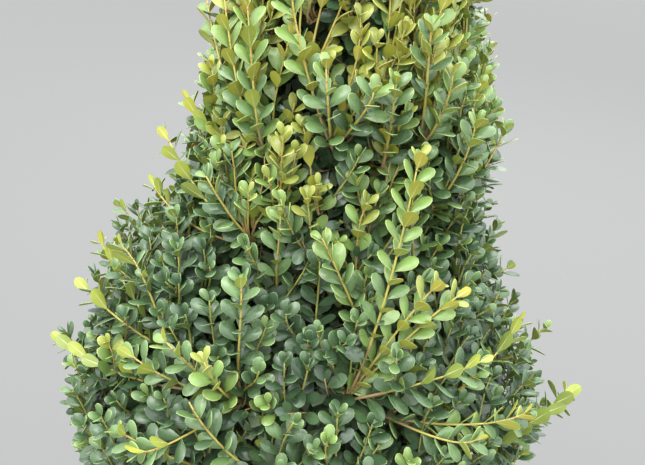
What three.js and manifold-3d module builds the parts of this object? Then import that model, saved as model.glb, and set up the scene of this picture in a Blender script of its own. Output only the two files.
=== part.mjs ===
// A boxwood clipped to a loose cone, standing in the black nursery pot it was grown in.
// Millimetres, +Z up. The origin is the centre of the pot's flat underside, +X runs to the
// right as seen from the front, and the front faces -Y.
import * as THREE from 'three';
import { mergeVertices } from 'three/addons/utils/BufferGeometryUtils.js';
import Module from 'manifold-3d';

const wasm = await Module();
wasm.setup();

// Clearance left between pieces that touch, and how much further a polygon's corners stand
// out than its flats when a piece is grown by it
const GAP = 0.3;
const CORNER_GROWTH = 1.2;
// Distances at which corners become one: the first that leaves a closed surface is used
const WELDS = [1e-3, 3e-3, 3e-4, 8e-3, 1e-4];

// Pot: a tapered thin-walled tub with a flat lip, a hanging skirt under it and two grip lugs
const POT = {
  height: 394,
  baseRadius: 186,
  mouthRadius: 210,
  wall: 2.6,
  floor: 4,
  lipWidth: 12,
  lipDrop: 24,
  segments: 40,
};
const LUG = { reach: 24, halfArc: 13, endWall: 0.7, azimuths: [150, -30], steps: 4 };
const DRAIN = { count: 8, width: 24, height: 18, lift: 9, depth: 40 };

// Potting mix: bark mulch, level with a spot a little under the lip
const MIX = { top: 378, padRadius: 36, sag: 6, shoulder: 115 };

// Trunk: root flare at the mix, a slight lean to the left and a fork high in the crown
const TRUNK = {
  foot: MIX.top + GAP,
  fork: 994,
  footRadius: 17,
  forkRadius: 7,
  flare: 11,
  flareFade: 22,
  flareLobes: 5,
  leanX: -9,
  leanY: 4,
  bow: 7,
  sides: 12,
  rises: [0, 8, 20, 38, 70, 150, 240, 330, 420, 520],
};

// Crown: half-width of the clipped outline, as pairs of height and radius about its own axis
const CROWN_AXIS = { x: 25, y: 0 };
const CROWN_PROFILE = [
  [394, 216],
  [450, 238],
  [580, 250],
  [645, 266],
  [700, 238],
  [780, 200],
  [860, 153],
  [960, 147],
  [1050, 122],
  [1200, 77],
  [1345, 8],
  [1380, 3],
];
// Swellings and hollows of the outline: where they lie, how far they stand out and spread
const CROWN_LUMPS = [
  { azimuth: 180, height: 765, size: 24, spreadZ: 38, spreadA: 45 },
  { azimuth: 0, height: 770, size: -16, spreadZ: 40, spreadA: 40 },
  { azimuth: 0, height: 950, size: 13, spreadZ: 60, spreadA: 50 },
  { azimuth: 180, height: 955, size: -12, spreadZ: 55, spreadA: 50 },
  { azimuth: 80, height: 700, size: 14, spreadZ: 50, spreadA: 35 },
  { azimuth: 125, height: 880, size: 12, spreadZ: 45, spreadA: 30 },
];

// Tiers of foliage: each ring of the crown is shared by masses that keep to their own sector.
// hollow is the open inside as a share of the outline, and standoff is how deep the leaves
// stand out of the core. tipShare is where on the mass's height its bough arrives.
const TIERS = [
  { name: 'skirt', from: 402, to: 590, masses: 6, turn: 30, hollow: 0.42, tipShare: 0.42 },
  { name: 'lower', from: 592, to: 800, masses: 5, turn: 62, hollow: 0.42, tipShare: 0.36 },
  { name: 'upper', from: 802, to: 1018, masses: 4, turn: 8, hollow: 0.40, tipShare: 0.34 },
  { name: 'top', from: 1020, to: 1182, masses: 3, turn: 50, hollow: 0.34, tipShare: 0.34 },
];
// The tip is one mass all round its leader, with a pointed core and two leading shoots
const TIP = {
  name: 'foliage_tip',
  from: 1184,
  to: 1384,
  rows: 3,
  columns: 4,
  standoff: 24,
  stemRise: 6,
  stemShare: 0.5,
  spireLevels: [0.01, 0.16, 0.31, 0.46, 0.62],
  spireSides: 9,
  spireTip: 7,
  leading: [
    { azimuth: -70, radius: 6, below: 44 },
    { azimuth: 150, radius: 26, below: 78 },
  ],
};
// Every mass keeps this far from the faces that part its space from the next
const SIDE_MARGIN = 0.8;
const CORE = { squareness: 0.42, marginZ: 3, marginA: 1.4, thinnest: 12, round: 10, rings: 7 };
const STANDOFF = { skirt: 44, lower: 44, upper: 44, top: 35 };

// Limbs that carry the masses: where they leave the trunk and how thick they are
const BOUGHS = {
  skirt: { rise: 62, stagger: 11, radius: 6.4, tipRadius: 4.2 },
  lower: { rise: 105, stagger: 13, radius: 6.0, tipRadius: 3.8 },
  upper: { rise: 110, stagger: 14, radius: 5.0, tipRadius: 3.2 },
  top: { rise: 62, stagger: 10, radius: 3.8, tipRadius: 2.7 },
  sides: 6,
  steps: 5,
  arch: 0.22,
  short: 4,
};
const LEADER = { radius: 4.8, tipRadius: 3.2, sides: 7, steps: 7, bow: 12, root: 4, short: 8 };
const TOP_BOUGH_STEPS = [2, 4];

// Twigs and leaves, larger than life so that some hundreds of them give the look of thousands
const STEM = { radius: 3.4, tipRadius: 2.6, sides: 5, depth: 0.62, heightShare: 0.55 };
const TWIG = {
  radius: 3.2,
  tipRadius: 2.2,
  sides: 3,
  run: 17,
  climb: 30,
  short: 27,
  longShoot: 24,
  lengthJitter: 8,
  firstRoot: 0.45,
  rootRange: 0.5,
};
// Twigs end in rows and columns spread over a mass, and every fourth one is a long shoot
const TWIG_GRID = { rows: 3, columns: 3, jitter: 0.3, shift: 0.1, fill: 0.9, longEvery: 4, lift: 6 };
const LEAF = {
  length: 60,
  width: 37,
  thickness: 2.0,
  widest: 0.56,
  blunt: 0.38,
  root: 0.8,
  smallest: 0.82,
  sizeRange: 0.22,
};
// Leaves in pairs: how far down the twig, how far they spread in degrees and how they roll
const PAIR = { first: 3, step: 20, spread: 56, spreadMore: 16, spreadJitter: 14, roll: 0.5, rollFrom: 0.35 };
const LIGHT = { tilt: 0.3, least: 0.25, range: 0.5 };
// A leaf that would add more faces than this to its mass crosses another, and is skipped
const LEAF_FACES = 21;
const LIMB_MARGIN = 3;

const FOLIAGE_GREENS = [0x4c6b33, 0x557538, 0x446130, 0x5f8040];

function degrees(angle) {
  return THREE.MathUtils.degToRad(angle);
}

// A repeatable stream of numbers from 0 to 1
function seeded(seed) {
  let state = seed >>> 0;
  return () => {
    state = (state + 0x6d2b79f5) >>> 0;
    let mixed = Math.imul(state ^ (state >>> 15), 1 | state);
    mixed = (mixed + Math.imul(mixed ^ (mixed >>> 7), 61 | mixed)) ^ mixed;
    return ((mixed ^ (mixed >>> 14)) >>> 0) / 4294967296;
  };
}

// Solids from triangles

function signedVolume(positions, triangles) {
  let sixfold = 0;
  const a = new THREE.Vector3();
  const b = new THREE.Vector3();
  const c = new THREE.Vector3();
  for (let i = 0; i < triangles.length; i += 3) {
    a.fromArray(positions, 3 * triangles[i]);
    b.fromArray(positions, 3 * triangles[i + 1]);
    c.fromArray(positions, 3 * triangles[i + 2]);
    sixfold += a.dot(b.cross(c));
  }
  return sixfold / 6;
}

// Each edge of a closed surface is met once from either side
function isClosed(triangles, count) {
  const edges = new Set();
  for (let i = 0; i < triangles.length; i += 3) {
    for (let corner = 0; corner < 3; corner += 1) {
      const edge = triangles[i + corner] * count + triangles[i + ((corner + 1) % 3)];
      if (edges.has(edge)) {
        return false;
      }
      edges.add(edge);
    }
  }
  return [...edges].every((edge) => edges.has((edge % count) * count + Math.floor(edge / count)));
}

// Corners closer together than weld become one, and triangles that this flattens are dropped
function weldedAt(geometry, weld) {
  const bare = new THREE.BufferGeometry();
  bare.setAttribute('position', geometry.getAttribute('position'));
  bare.setIndex(geometry.getIndex());
  const merged = mergeVertices(bare, weld);
  const corners = merged.getIndex().array;
  const triangles = [];
  for (let i = 0; i < corners.length; i += 3) {
    const [a, b, c] = [corners[i], corners[i + 1], corners[i + 2]];
    if (a !== b && b !== c && c !== a) {
      triangles.push(a, b, c);
    }
  }
  return { positions: new Float32Array(merged.getAttribute('position').array), triangles };
}

function welded(geometry) {
  const tries = WELDS.map((weld) => weldedAt(geometry, weld));
  return tries.find(({ positions, triangles }) => isClosed(triangles, positions.length / 3)) ?? tries[0];
}

// A closed surface becomes a solid with its faces pointing out
function solidOf(geometry) {
  const { positions, triangles } = welded(geometry);
  if (signedVolume(positions, triangles) < 0) {
    triangles.reverse();
  }
  const triVerts = new Uint32Array(triangles);
  return new wasm.Manifold(new wasm.Mesh({ numProp: 3, vertProperties: positions, triVerts }));
}

function geometryOf(vertices, triangles) {
  const geometry = new THREE.BufferGeometry();
  const flat = vertices.flatMap((vertex) => vertex.toArray());
  geometry.setAttribute('position', new THREE.Float32BufferAttribute(flat, 3));
  geometry.setIndex(triangles);
  return geometry;
}

// The triangles of a solid, sorted into bodies that share no vertex
function bodiesOf(positions, triangles) {
  const parent = Array.from({ length: positions.length / 3 }, (_, i) => i);
  const rootOf = (vertex) => {
    let root = vertex;
    while (parent[root] !== root) {
      parent[root] = parent[parent[root]];
      root = parent[root];
    }
    return root;
  };
  for (let i = 0; i < triangles.length; i += 3) {
    parent[rootOf(triangles[i])] = rootOf(triangles[i + 1]);
    parent[rootOf(triangles[i + 1])] = rootOf(triangles[i + 2]);
  }
  const bodies = new Map();
  for (let i = 0; i < triangles.length; i += 3) {
    const root = rootOf(triangles[i]);
    if (!bodies.has(root)) {
      bodies.set(root, []);
    }
    bodies.get(root).push(triangles[i], triangles[i + 1], triangles[i + 2]);
  }
  return [...bodies.values()];
}

// The largest body alone: a loose scrap is dropped and a sealed hollow is filled
function wholeBody(solid) {
  const mesh = solid.getMesh();
  const positions = mesh.vertProperties;
  const bodies = bodiesOf(positions, mesh.triVerts);
  const volumes = bodies.map((body) => signedVolume(positions, body));
  const largest = bodies[volumes.indexOf(Math.max(...volumes))];
  const rough = new THREE.BufferGeometry();
  rough.setAttribute('position', new THREE.Float32BufferAttribute(positions, 3));
  rough.setIndex(largest);
  const clean = welded(rough);
  const geometry = new THREE.BufferGeometry();
  geometry.setAttribute('position', new THREE.Float32BufferAttribute(clean.positions, 3));
  geometry.setIndex(clean.triangles);
  geometry.computeVertexNormals();
  return geometry;
}

function joined(solids) {
  return solids.reduce((whole, solid) => whole.add(solid));
}

function cutBy(solid, tools) {
  return tools.reduce((rest, tool) => rest.subtract(tool), solid);
}

// Shapes

// A profile of radius and height turned round the pot's axis
function turned(profile, segments) {
  const points = profile.map(([radius, height]) => new THREE.Vector2(radius, height));
  const geometry = new THREE.LatheGeometry(points, segments);
  geometry.rotateX(Math.PI / 2);
  return solidOf(geometry);
}

// A block between two radii and two heights that follows the pot's curve
function arcBlock(azimuth, halfArc, inner, outer, bottom, top) {
  const shape = new THREE.Shape();
  shape.absarc(0, 0, outer, degrees(azimuth - halfArc), degrees(azimuth + halfArc), false);
  shape.absarc(0, 0, inner, degrees(azimuth + halfArc), degrees(azimuth - halfArc), true);
  const block = new THREE.ExtrudeGeometry(shape, {
    depth: top - bottom,
    bevelEnabled: false,
    curveSegments: LUG.steps,
  });
  block.translate(0, 0, bottom);
  return solidOf(block.index ? block : mergeVertices(block));
}

// Rings of points about a line of centres, closed with flat ends
function ringed(rings) {
  const sides = rings[0].length;
  const triangles = [];
  for (let ring = 1; ring < rings.length; ring += 1) {
    for (let side = 0; side < sides; side += 1) {
      const low = (ring - 1) * sides;
      const next = (side + 1) % sides;
      triangles.push(low + side, low + next, low + sides + next);
      triangles.push(low + side, low + sides + next, low + sides + side);
    }
  }
  const last = (rings.length - 1) * sides;
  for (let side = 1; side < sides - 1; side += 1) {
    triangles.push(0, side + 1, side);
    triangles.push(last, last + side, last + side + 1);
  }
  return solidOf(geometryOf(rings.flat(), triangles));
}

function directionAt(points, index) {
  const before = points[Math.max(index - 1, 0)];
  const after = points[Math.min(index + 1, points.length - 1)];
  return new THREE.Vector3().subVectors(after, before).normalize();
}

function sidewaysOf(direction) {
  const helper = Math.abs(direction.z) < 0.9
    ? new THREE.Vector3(0, 0, 1)
    : new THREE.Vector3(1, 0, 0);
  return new THREE.Vector3().crossVectors(direction, helper).normalize();
}

// A tapering limb round a line of points. grow makes it fatter and longer all round
function limbSolid(limb, sides, grow = 0) {
  const { points, radius, tipRadius } = limb;
  const last = points.length - 1;
  const line = points.map((point) => point.clone());
  line[0].addScaledVector(directionAt(points, 0), -grow);
  line[last].addScaledVector(directionAt(points, last), grow);
  const rings = [];
  const turn = new THREE.Quaternion();
  let sideways = sidewaysOf(directionAt(points, 0));
  line.forEach((point, ring) => {
    const along = directionAt(points, ring);
    if (ring > 0) {
      turn.setFromUnitVectors(directionAt(points, ring - 1), along);
      sideways = sideways.clone().applyQuaternion(turn);
    }
    const across = new THREE.Vector3().crossVectors(along, sideways);
    const size = THREE.MathUtils.lerp(radius, tipRadius, ring / last) + CORNER_GROWTH * grow;
    const circle = Array.from({ length: sides }, (_, side) => {
      const angle = (2 * Math.PI * side) / sides;
      return point.clone()
        .addScaledVector(sideways, size * Math.cos(angle))
        .addScaledVector(across, size * Math.sin(angle));
    });
    rings.push(circle);
  });
  return ringed(rings);
}

// A leaf of eight faces: a spoon-shaped outline with a blunt tip, flat below and ridged above,
// with its pointed root sunk past the middle of its twig
function leafSolid(root, along, upward, size) {
  const across = new THREE.Vector3().crossVectors(along, upward).normalize();
  const facing = new THREE.Vector3().crossVectors(across, along).normalize();
  const length = LEAF.length * size;
  const halfWidth = 0.5 * LEAF.width * size;
  const at = (distance, side, lift) => root.clone()
    .addScaledVector(along, distance)
    .addScaledVector(across, side)
    .addScaledVector(facing, lift);
  const vertices = [
    at(-LEAF.root, 0, 0),
    at(LEAF.widest * length, halfWidth, 0),
    at(length, LEAF.blunt * halfWidth, 0),
    at(length, -LEAF.blunt * halfWidth, 0),
    at(LEAF.widest * length, -halfWidth, 0),
    at(LEAF.widest * length, 0, LEAF.thickness),
  ];
  const ridge = [0, 1, 2, 3, 4].flatMap((edge) => [5, edge, (edge + 1) % 5]);
  const flat = [0, 2, 1, 0, 3, 2, 0, 4, 3];
  return { solid: solidOf(geometryOf(vertices, [...ridge, ...flat])), vertices };
}

// Pot and potting mix

function wallRadius(height) {
  return THREE.MathUtils.mapLinear(height, 0, POT.height, POT.baseRadius, POT.mouthRadius + POT.wall);
}

function potSolid() {
  const lipOuter = POT.mouthRadius + POT.lipWidth;
  const lipUnder = POT.height - POT.wall;
  const lipFoot = POT.height - POT.lipDrop;
  const tub = turned([
    [0, 0],
    [POT.baseRadius, 0],
    [wallRadius(lipUnder), lipUnder],
    [lipOuter - POT.wall, lipUnder],
    [lipOuter - POT.wall, lipFoot],
    [lipOuter, lipFoot],
    [lipOuter, POT.height],
    [POT.mouthRadius, POT.height],
    [wallRadius(POT.floor) - POT.wall, POT.floor],
    [0, POT.floor],
  ], POT.segments);
  const lugOuter = lipOuter + LUG.reach;
  const lugs = LUG.azimuths.map((azimuth) => {
    const inner = lipOuter - 0.5 * POT.wall;
    const hood = arcBlock(azimuth, LUG.halfArc, inner, lugOuter, lipFoot, POT.height);
    const hollowArc = LUG.halfArc - LUG.endWall;
    const inside = arcBlock(azimuth, hollowArc, lipOuter, lugOuter - POT.wall, 0, lipUnder);
    return hood.subtract(inside);
  });
  const drains = Array.from({ length: DRAIN.count }, (_, index) => {
    const slot = new THREE.BoxGeometry(DRAIN.depth, DRAIN.width, DRAIN.height);
    slot.translate(POT.baseRadius, 0, DRAIN.lift + 0.5 * DRAIN.height);
    slot.rotateZ(degrees((360 * (index + 0.5)) / DRAIN.count));
    return solidOf(slot);
  });
  return cutBy(joined([tub, ...lugs]), drains);
}

function mixSolid() {
  const foot = POT.floor + GAP;
  const inset = POT.wall + GAP;
  return turned([
    [0, foot],
    [wallRadius(foot) - inset, foot],
    [wallRadius(MIX.top - MIX.sag) - inset, MIX.top - MIX.sag],
    [MIX.shoulder, MIX.top - 0.5 * MIX.sag],
    [MIX.padRadius, MIX.top],
    [0, MIX.top],
  ], POT.segments);
}

// Trunk, leaders and boughs

function trunkCentre(height) {
  const share = (height - TRUNK.foot) / (TRUNK.fork - TRUNK.foot);
  const bow = TRUNK.bow * Math.sin(Math.PI * share);
  return new THREE.Vector3(TRUNK.leanX * share + bow, TRUNK.leanY * share - 0.5 * bow, height);
}

function trunkRadius(height) {
  const share = (height - TRUNK.foot) / (TRUNK.fork - TRUNK.foot);
  return THREE.MathUtils.lerp(TRUNK.footRadius, TRUNK.forkRadius, Math.max(share, 0));
}

// Level rings from the flat cut at the mix up to the fork, spread into root lobes at the foot
function trunkSolid(grow = 0) {
  const rises = [...TRUNK.rises, TRUNK.fork - TRUNK.foot];
  const rings = rises.map((rise, level) => {
    const height = TRUNK.foot + rise;
    const centre = trunkCentre(height);
    if (level === 0) {
      centre.z -= grow;
    }
    if (level === rises.length - 1) {
      centre.z += grow;
    }
    return Array.from({ length: TRUNK.sides }, (_, side) => {
      const angle = (2 * Math.PI * side) / TRUNK.sides;
      const lobe = 0.6 + 0.4 * Math.cos(TRUNK.flareLobes * angle);
      const flare = TRUNK.flare * lobe * Math.exp(-rise / TRUNK.flareFade);
      const radius = trunkRadius(height) + flare + CORNER_GROWTH * grow;
      const out = new THREE.Vector3(Math.cos(angle), Math.sin(angle), 0);
      return centre.clone().addScaledVector(out, radius);
    });
  });
  return ringed(rings);
}

// A bough's line bends up from the trunk towards its tip
function archedLine(from, to) {
  const middle = from.clone().lerp(to, 0.5);
  middle.z -= BOUGHS.arch * from.distanceTo(to);
  return new THREE.QuadraticBezierCurve3(from, middle, to).getPoints(BOUGHS.steps);
}

// Crown and its cells

function crownRadius(azimuth, height) {
  const above = CROWN_PROFILE.findIndex(([level]) => level > height);
  const top = above < 0 ? CROWN_PROFILE.length - 1 : Math.max(above, 1);
  const [lowZ, lowR] = CROWN_PROFILE[top - 1];
  const [highZ, highR] = CROWN_PROFILE[top];
  const share = THREE.MathUtils.clamp((height - lowZ) / (highZ - lowZ), 0, 1);
  const lumps = CROWN_LUMPS.map((lump) => {
    const round = ((((azimuth - lump.azimuth) % 360) + 540) % 360) - 180;
    const away = (round / lump.spreadA) ** 2 + ((height - lump.height) / lump.spreadZ) ** 2;
    return lump.size * Math.exp(-away);
  });
  return lumps.reduce((sum, lump) => sum + lump, THREE.MathUtils.lerp(lowR, highR, share));
}

function crownPoint(azimuth, radius, height) {
  const turn = degrees(azimuth);
  return new THREE.Vector3(
    CROWN_AXIS.x + radius * Math.cos(turn),
    CROWN_AXIS.y + radius * Math.sin(turn),
    height,
  );
}

// Whether a point keeps to its mass's own space: its tier, its sector and above the pot
function insideCell(cell, point) {
  if (point.z < cell.from + SIDE_MARGIN || point.z > cell.to - SIDE_MARGIN) {
    return false;
  }
  if (cell.halfAngle >= 180) {
    return true;
  }
  const x = point.x - CROWN_AXIS.x;
  const y = point.y - CROWN_AXIS.y;
  const turn = degrees(cell.azimuth);
  const along = x * Math.cos(turn) + y * Math.sin(turn);
  const aside = Math.abs(y * Math.cos(turn) - x * Math.sin(turn));
  const edge = degrees(cell.halfAngle);
  return along * Math.sin(edge) - aside * Math.cos(edge) > SIDE_MARGIN;
}

function clearOfLimbs(limbs, point, margin) {
  return limbs.every((limb) => limb.points.every((at, index) => {
    const share = index / (limb.points.length - 1);
    const size = THREE.MathUtils.lerp(limb.radius, limb.tipRadius, share);
    return at.distanceTo(point) > size + margin;
  }));
}

// A core is a ball pushed out towards a wedge: its sides follow the sector and the outline
function coreSolid(cell) {
  const ball = new THREE.SphereGeometry(1, CORE.round, CORE.rings);
  ball.rotateX(Math.PI / 2);
  const places = ball.getAttribute('position');
  const square = (value) => {
    const even = Math.round(value * 1e5) / 1e5;
    return Math.sign(even) * Math.abs(even) ** CORE.squareness;
  };
  for (let i = 0; i < places.count; i += 1) {
    const out = 0.5 + 0.5 * square(places.getX(i));
    const aside = square(places.getY(i));
    const up = 0.5 + 0.5 * square(places.getZ(i));
    const height = THREE.MathUtils.lerp(cell.from + CORE.marginZ, cell.to - CORE.marginZ, up);
    const edge = cell.halfAngle - CORE.marginA;
    const azimuth = cell.azimuth + edge * aside;
    const outer = crownRadius(azimuth, height) - cell.standoff;
    const inner = Math.min(cell.hollow * crownRadius(azimuth, height), outer - CORE.thinnest);
    const spot = crownPoint(azimuth, THREE.MathUtils.lerp(inner, outer, out), height);
    places.setXYZ(i, spot.x, spot.y, spot.z);
  }
  return solidOf(ball);
}

// The tip's core is a round spire about the crown's axis
function spireSolid(cell) {
  const rings = cell.spireLevels.map((share) => {
    const height = THREE.MathUtils.lerp(cell.from, cell.to, share);
    return Array.from({ length: cell.spireSides }, (_, side) => {
      const azimuth = (360 * side) / cell.spireSides;
      const radius = Math.max(crownRadius(azimuth, height) - cell.standoff, cell.spireTip);
      return crownPoint(azimuth, radius, height);
    });
  });
  return ringed(rings);
}

// The level direction straight out of the crown
function outwardAt(point) {
  return new THREE.Vector3(point.x - CROWN_AXIS.x, point.y - CROWN_AXIS.y, 0).normalize();
}

// A line for a twig: out of the stem to an elbow near the outline, then up to its tip
function twigLine(from, to) {
  const elbow = to.clone().addScaledVector(outwardAt(to), -TWIG.run);
  elbow.z -= TWIG.climb;
  return [from, elbow, to];
}

// Leaves at a twig's tip: one that goes straight on, and pairs to either side below it
function leavesOnTwig(line, pairs, random) {
  const tip = line[line.length - 1];
  const along = directionAt(line, line.length - 1);
  const outward = outwardAt(tip);
  const sideways = new THREE.Vector3().crossVectors(along, outward).normalize();
  const light = outward.clone();
  light.x += LIGHT.tilt * (2 * random() - 1);
  light.y += LIGHT.tilt * (2 * random() - 1);
  light.z += LIGHT.least + LIGHT.range * random();
  const leaves = [leafSolid(tip, along, light, LEAF.smallest + LEAF.sizeRange * random())];
  for (let pair = 0; pair < pairs; pair += 1) {
    const root = tip.clone().addScaledVector(along, -PAIR.first - PAIR.step * pair);
    for (const side of [-1, 1]) {
      const roll = PAIR.roll * (random() - PAIR.rollFrom);
      const out = sideways.clone().multiplyScalar(side * Math.cos(roll));
      out.addScaledVector(outward, Math.sin(roll));
      const spread = degrees(PAIR.spread + PAIR.spreadMore * pair + PAIR.spreadJitter * (random() - 0.5));
      const lead = along.clone().multiplyScalar(Math.cos(spread)).addScaledVector(out, Math.sin(spread));
      leaves.push(leafSolid(root, lead.normalize(), light, LEAF.smallest + LEAF.sizeRange * random()));
    }
  }
  return leaves;
}

// Where the twigs of a mass end: rows and columns spread over its part of the outline
function twigTips(cell, random) {
  const tips = [];
  for (let row = 0; row < cell.rows; row += 1) {
    for (let column = 0; column < cell.columns; column += 1) {
      const jitterZ = TWIG_GRID.jitter * (random() - 0.5);
      const jitterA = TWIG_GRID.jitter * (random() - 0.5);
      const shift = row % 2 === 0 ? TWIG_GRID.shift : -TWIG_GRID.shift;
      const upShare = THREE.MathUtils.clamp((row + jitterZ) / (cell.rows - 1), 0, 1);
      const roundShare = (column + 0.5 + shift + jitterA) / cell.columns;
      const lowest = cell.from + TWIG.climb + TWIG_GRID.lift;
      const height = THREE.MathUtils.lerp(lowest, cell.to - LEAF.length + TWIG_GRID.lift, upShare);
      const azimuth = cell.azimuth + cell.halfAngle * (2 * roundShare - 1) * TWIG_GRID.fill;
      const long = tips.length % TWIG_GRID.longEvery === cell.longPhase;
      const extra = long ? TWIG.longShoot : TWIG.lengthJitter * (random() - 0.5);
      const reach = Math.max(crownRadius(azimuth, height) - TWIG.short + extra, TWIG.short);
      tips.push({ point: crownPoint(azimuth, reach, height), long });
    }
  }
  const leading = cell.leading.map(({ azimuth, radius, below }) => ({
    point: crownPoint(azimuth, radius, cell.to - below),
    long: true,
  }));
  return [...tips, ...leading];
}

// A mass of foliage: core, stem, twigs and leaves in one body, clear of every limb
function massGeometry(cell, limbs, cutters, seed) {
  const random = seeded(seed);
  const stem = { points: cell.stemLine, radius: STEM.radius, tipRadius: STEM.tipRadius };
  let whole = cell.core.add(limbSolid(stem, STEM.sides));
  const fits = (points) => points.every(
    (point) => insideCell(cell, point) && clearOfLimbs(limbs, point, LIMB_MARGIN),
  );
  for (const { point, long } of twigTips(cell, random)) {
    const share = TWIG.firstRoot + TWIG.rootRange * random();
    const root = cell.stemLine[0].clone().lerp(cell.stemLine[cell.stemLine.length - 1], share);
    const line = twigLine(root, point);
    const leaves = leavesOnTwig(line, long ? 2 : 1, random);
    if (!fits(line.slice(1))) {
      continue;
    }
    const twig = { points: line, radius: TWIG.radius, tipRadius: TWIG.tipRadius };
    whole = whole.add(limbSolid(twig, TWIG.sides));
    for (const leaf of leaves.filter(({ vertices }) => fits(vertices))) {
      const fuller = whole.add(leaf.solid);
      if (fuller.numTri() - whole.numTri() <= LEAF_FACES) {
        whole = fuller;
      }
    }
  }
  return wholeBody(cutBy(whole, cutters));
}

// The plan of the crown: a cell for each mass, with the limb that carries it

function tierCells(tier) {
  const halfAngle = 180 / tier.masses;
  return Array.from({ length: tier.masses }, (_, index) => ({
    ...tier,
    label: `${tier.name}_${index + 1}`,
    azimuth: tier.turn + 2 * halfAngle * index,
    halfAngle,
    standoff: STANDOFF[tier.name],
    rows: TWIG_GRID.rows,
    columns: TWIG_GRID.columns,
    longPhase: index % TWIG_GRID.longEvery,
    leading: [],
  }));
}

// Where a bough ends: just inside the hollow of the crown, part of the way up its mass
function boughTip(cell) {
  const height = THREE.MathUtils.lerp(cell.from, cell.to, cell.tipShare);
  const radius = cell.hollow * crownRadius(cell.azimuth, height) - BOUGHS.short;
  return crownPoint(cell.azimuth, radius, height);
}

function boughLimb(cell, index) {
  const size = BOUGHS[cell.name];
  const tip = boughTip(cell);
  const foot = trunkCentre(tip.z - size.rise + size.stagger * ((index % 3) - 1));
  return { points: archedLine(foot, tip), radius: size.radius, tipRadius: size.tipRadius };
}

function leaderLimb(from, to, side) {
  const middle = from.clone().lerp(to, 0.5);
  middle.x += side * LEADER.bow;
  const points = new THREE.QuadraticBezierCurve3(from, middle, to).getPoints(LEADER.steps);
  return { points, radius: LEADER.radius, tipRadius: LEADER.tipRadius };
}

// The stem goes on from its limb's tip into the depth of the mass
function stemFrom(tip, cell) {
  const height = THREE.MathUtils.lerp(cell.from, cell.to, STEM.heightShare);
  const outer = crownRadius(cell.azimuth, height) - cell.standoff;
  const inner = cell.hollow * crownRadius(cell.azimuth, height);
  const end = crownPoint(cell.azimuth, THREE.MathUtils.lerp(inner, outer, STEM.depth), height);
  return [tip, tip.clone().lerp(end, 0.5), end];
}

function mesh(name, geometry, colour, roughness) {
  const material = new THREE.MeshStandardMaterial({ color: colour, roughness, metalness: 0 });
  const piece = new THREE.Mesh(geometry, material);
  piece.name = name;
  return piece;
}

function barkMesh(name, geometry) {
  return mesh(name, geometry, 0x9a8466, 0.9);
}

const plant = new THREE.Group();
plant.add(mesh('pot', wholeBody(potSolid()), 0x202225, 0.55));
plant.add(mesh('potting_mix', wholeBody(mixSolid()), 0x3a2a20, 1));
plant.add(barkMesh('trunk', wholeBody(trunkSolid())));

const trunkTool = trunkSolid(GAP);
const cells = TIERS.flatMap(tierCells);
const topCells = cells.filter((cell) => cell.name === 'top');
const forkPoint = trunkCentre(TRUNK.fork - LEADER.root);

// The right leader runs on to the tip and the left one ends in the mass beside it
const leftCell = topCells.find((cell) => Math.cos(degrees(cell.azimuth)) < -0.5);
const rightTip = crownPoint(0, 0, TIP.from - LEADER.short);
const rightLeader = leaderLimb(forkPoint, rightTip, 1);
const leftLeader = leaderLimb(forkPoint, boughTip(leftCell), -1);
const rightTool = limbSolid(rightLeader, LEADER.sides, GAP);
const leftTool = limbSolid(leftLeader, LEADER.sides, GAP);
const rightSolid = cutBy(limbSolid(rightLeader, LEADER.sides), [trunkTool]);
const leftSolid = cutBy(limbSolid(leftLeader, LEADER.sides), [trunkTool, rightTool]);
plant.add(barkMesh('leader_right', wholeBody(rightSolid)));
plant.add(barkMesh('leader_left', wholeBody(leftSolid)));

const trunkLimb = {
  points: Array.from({ length: 60 }, (_, step) => (
    trunkCentre(THREE.MathUtils.mapLinear(step, 0, 59, TRUNK.foot, TRUNK.fork))
  )),
  radius: TRUNK.footRadius,
  tipRadius: TRUNK.forkRadius,
};
const limbs = [trunkLimb, rightLeader, leftLeader];
const cutters = [trunkTool, rightTool, leftTool];

for (const [index, cell] of cells.entries()) {
  if (cell === leftCell) {
    cell.stemLine = stemFrom(boughTip(cell), cell);
    continue;
  }
  const limb = boughLimb(cell, index);
  if (cell.name === 'top') {
    const start = rightLeader.points[TOP_BOUGH_STEPS[cell === topCells[0] ? 0 : 1]];
    limb.points = archedLine(start, boughTip(cell));
  }
  const bough = cutBy(limbSolid(limb, BOUGHS.sides), [trunkTool, rightTool, leftTool]);
  plant.add(barkMesh(`bough_${cell.label}`, wholeBody(bough)));
  cell.stemLine = stemFrom(boughTip(cell), cell);
  limbs.push(limb);
  cutters.push(limbSolid(limb, BOUGHS.sides, GAP));
}

for (const [index, cell] of cells.entries()) {
  cell.core = coreSolid(cell);
  const geometry = massGeometry(cell, limbs, cutters, 100 + index);
  plant.add(mesh(`foliage_${cell.label}`, geometry, FOLIAGE_GREENS[index % FOLIAGE_GREENS.length], 0.7));
}

const tipCell = {
  ...TIP,
  azimuth: 0,
  halfAngle: 180,
  longPhase: 1,
  stemLine: [
    rightTip,
    rightTip.clone().setZ(TIP.from + TIP.stemRise),
    rightTip.clone().setZ(THREE.MathUtils.lerp(TIP.from, TIP.to, TIP.stemShare)),
  ],
};
tipCell.core = spireSolid(tipCell);
plant.add(mesh(TIP.name, massGeometry(tipCell, limbs, cutters, 190), FOLIAGE_GREENS[1], 0.7));

export default plant;
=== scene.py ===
"""A boxwood clipped to a loose cone in its black nursery pot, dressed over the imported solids.

Metres, +Z up. The origin is the centre of the pot's flat underside, the front faces -Y and +X is on the
right as seen from there. The limbs and masses are laid out by the same rule as the solids, and the rule is
carried on here to finer twigs, shoots and leaves of real size.
"""

from __future__ import annotations

import logging
import math
from dataclasses import dataclass, fields
from enum import Enum
from typing import Self

import bpy
import numpy as np
from mathutils import Matrix
from mathutils.kdtree import KDTree

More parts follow.
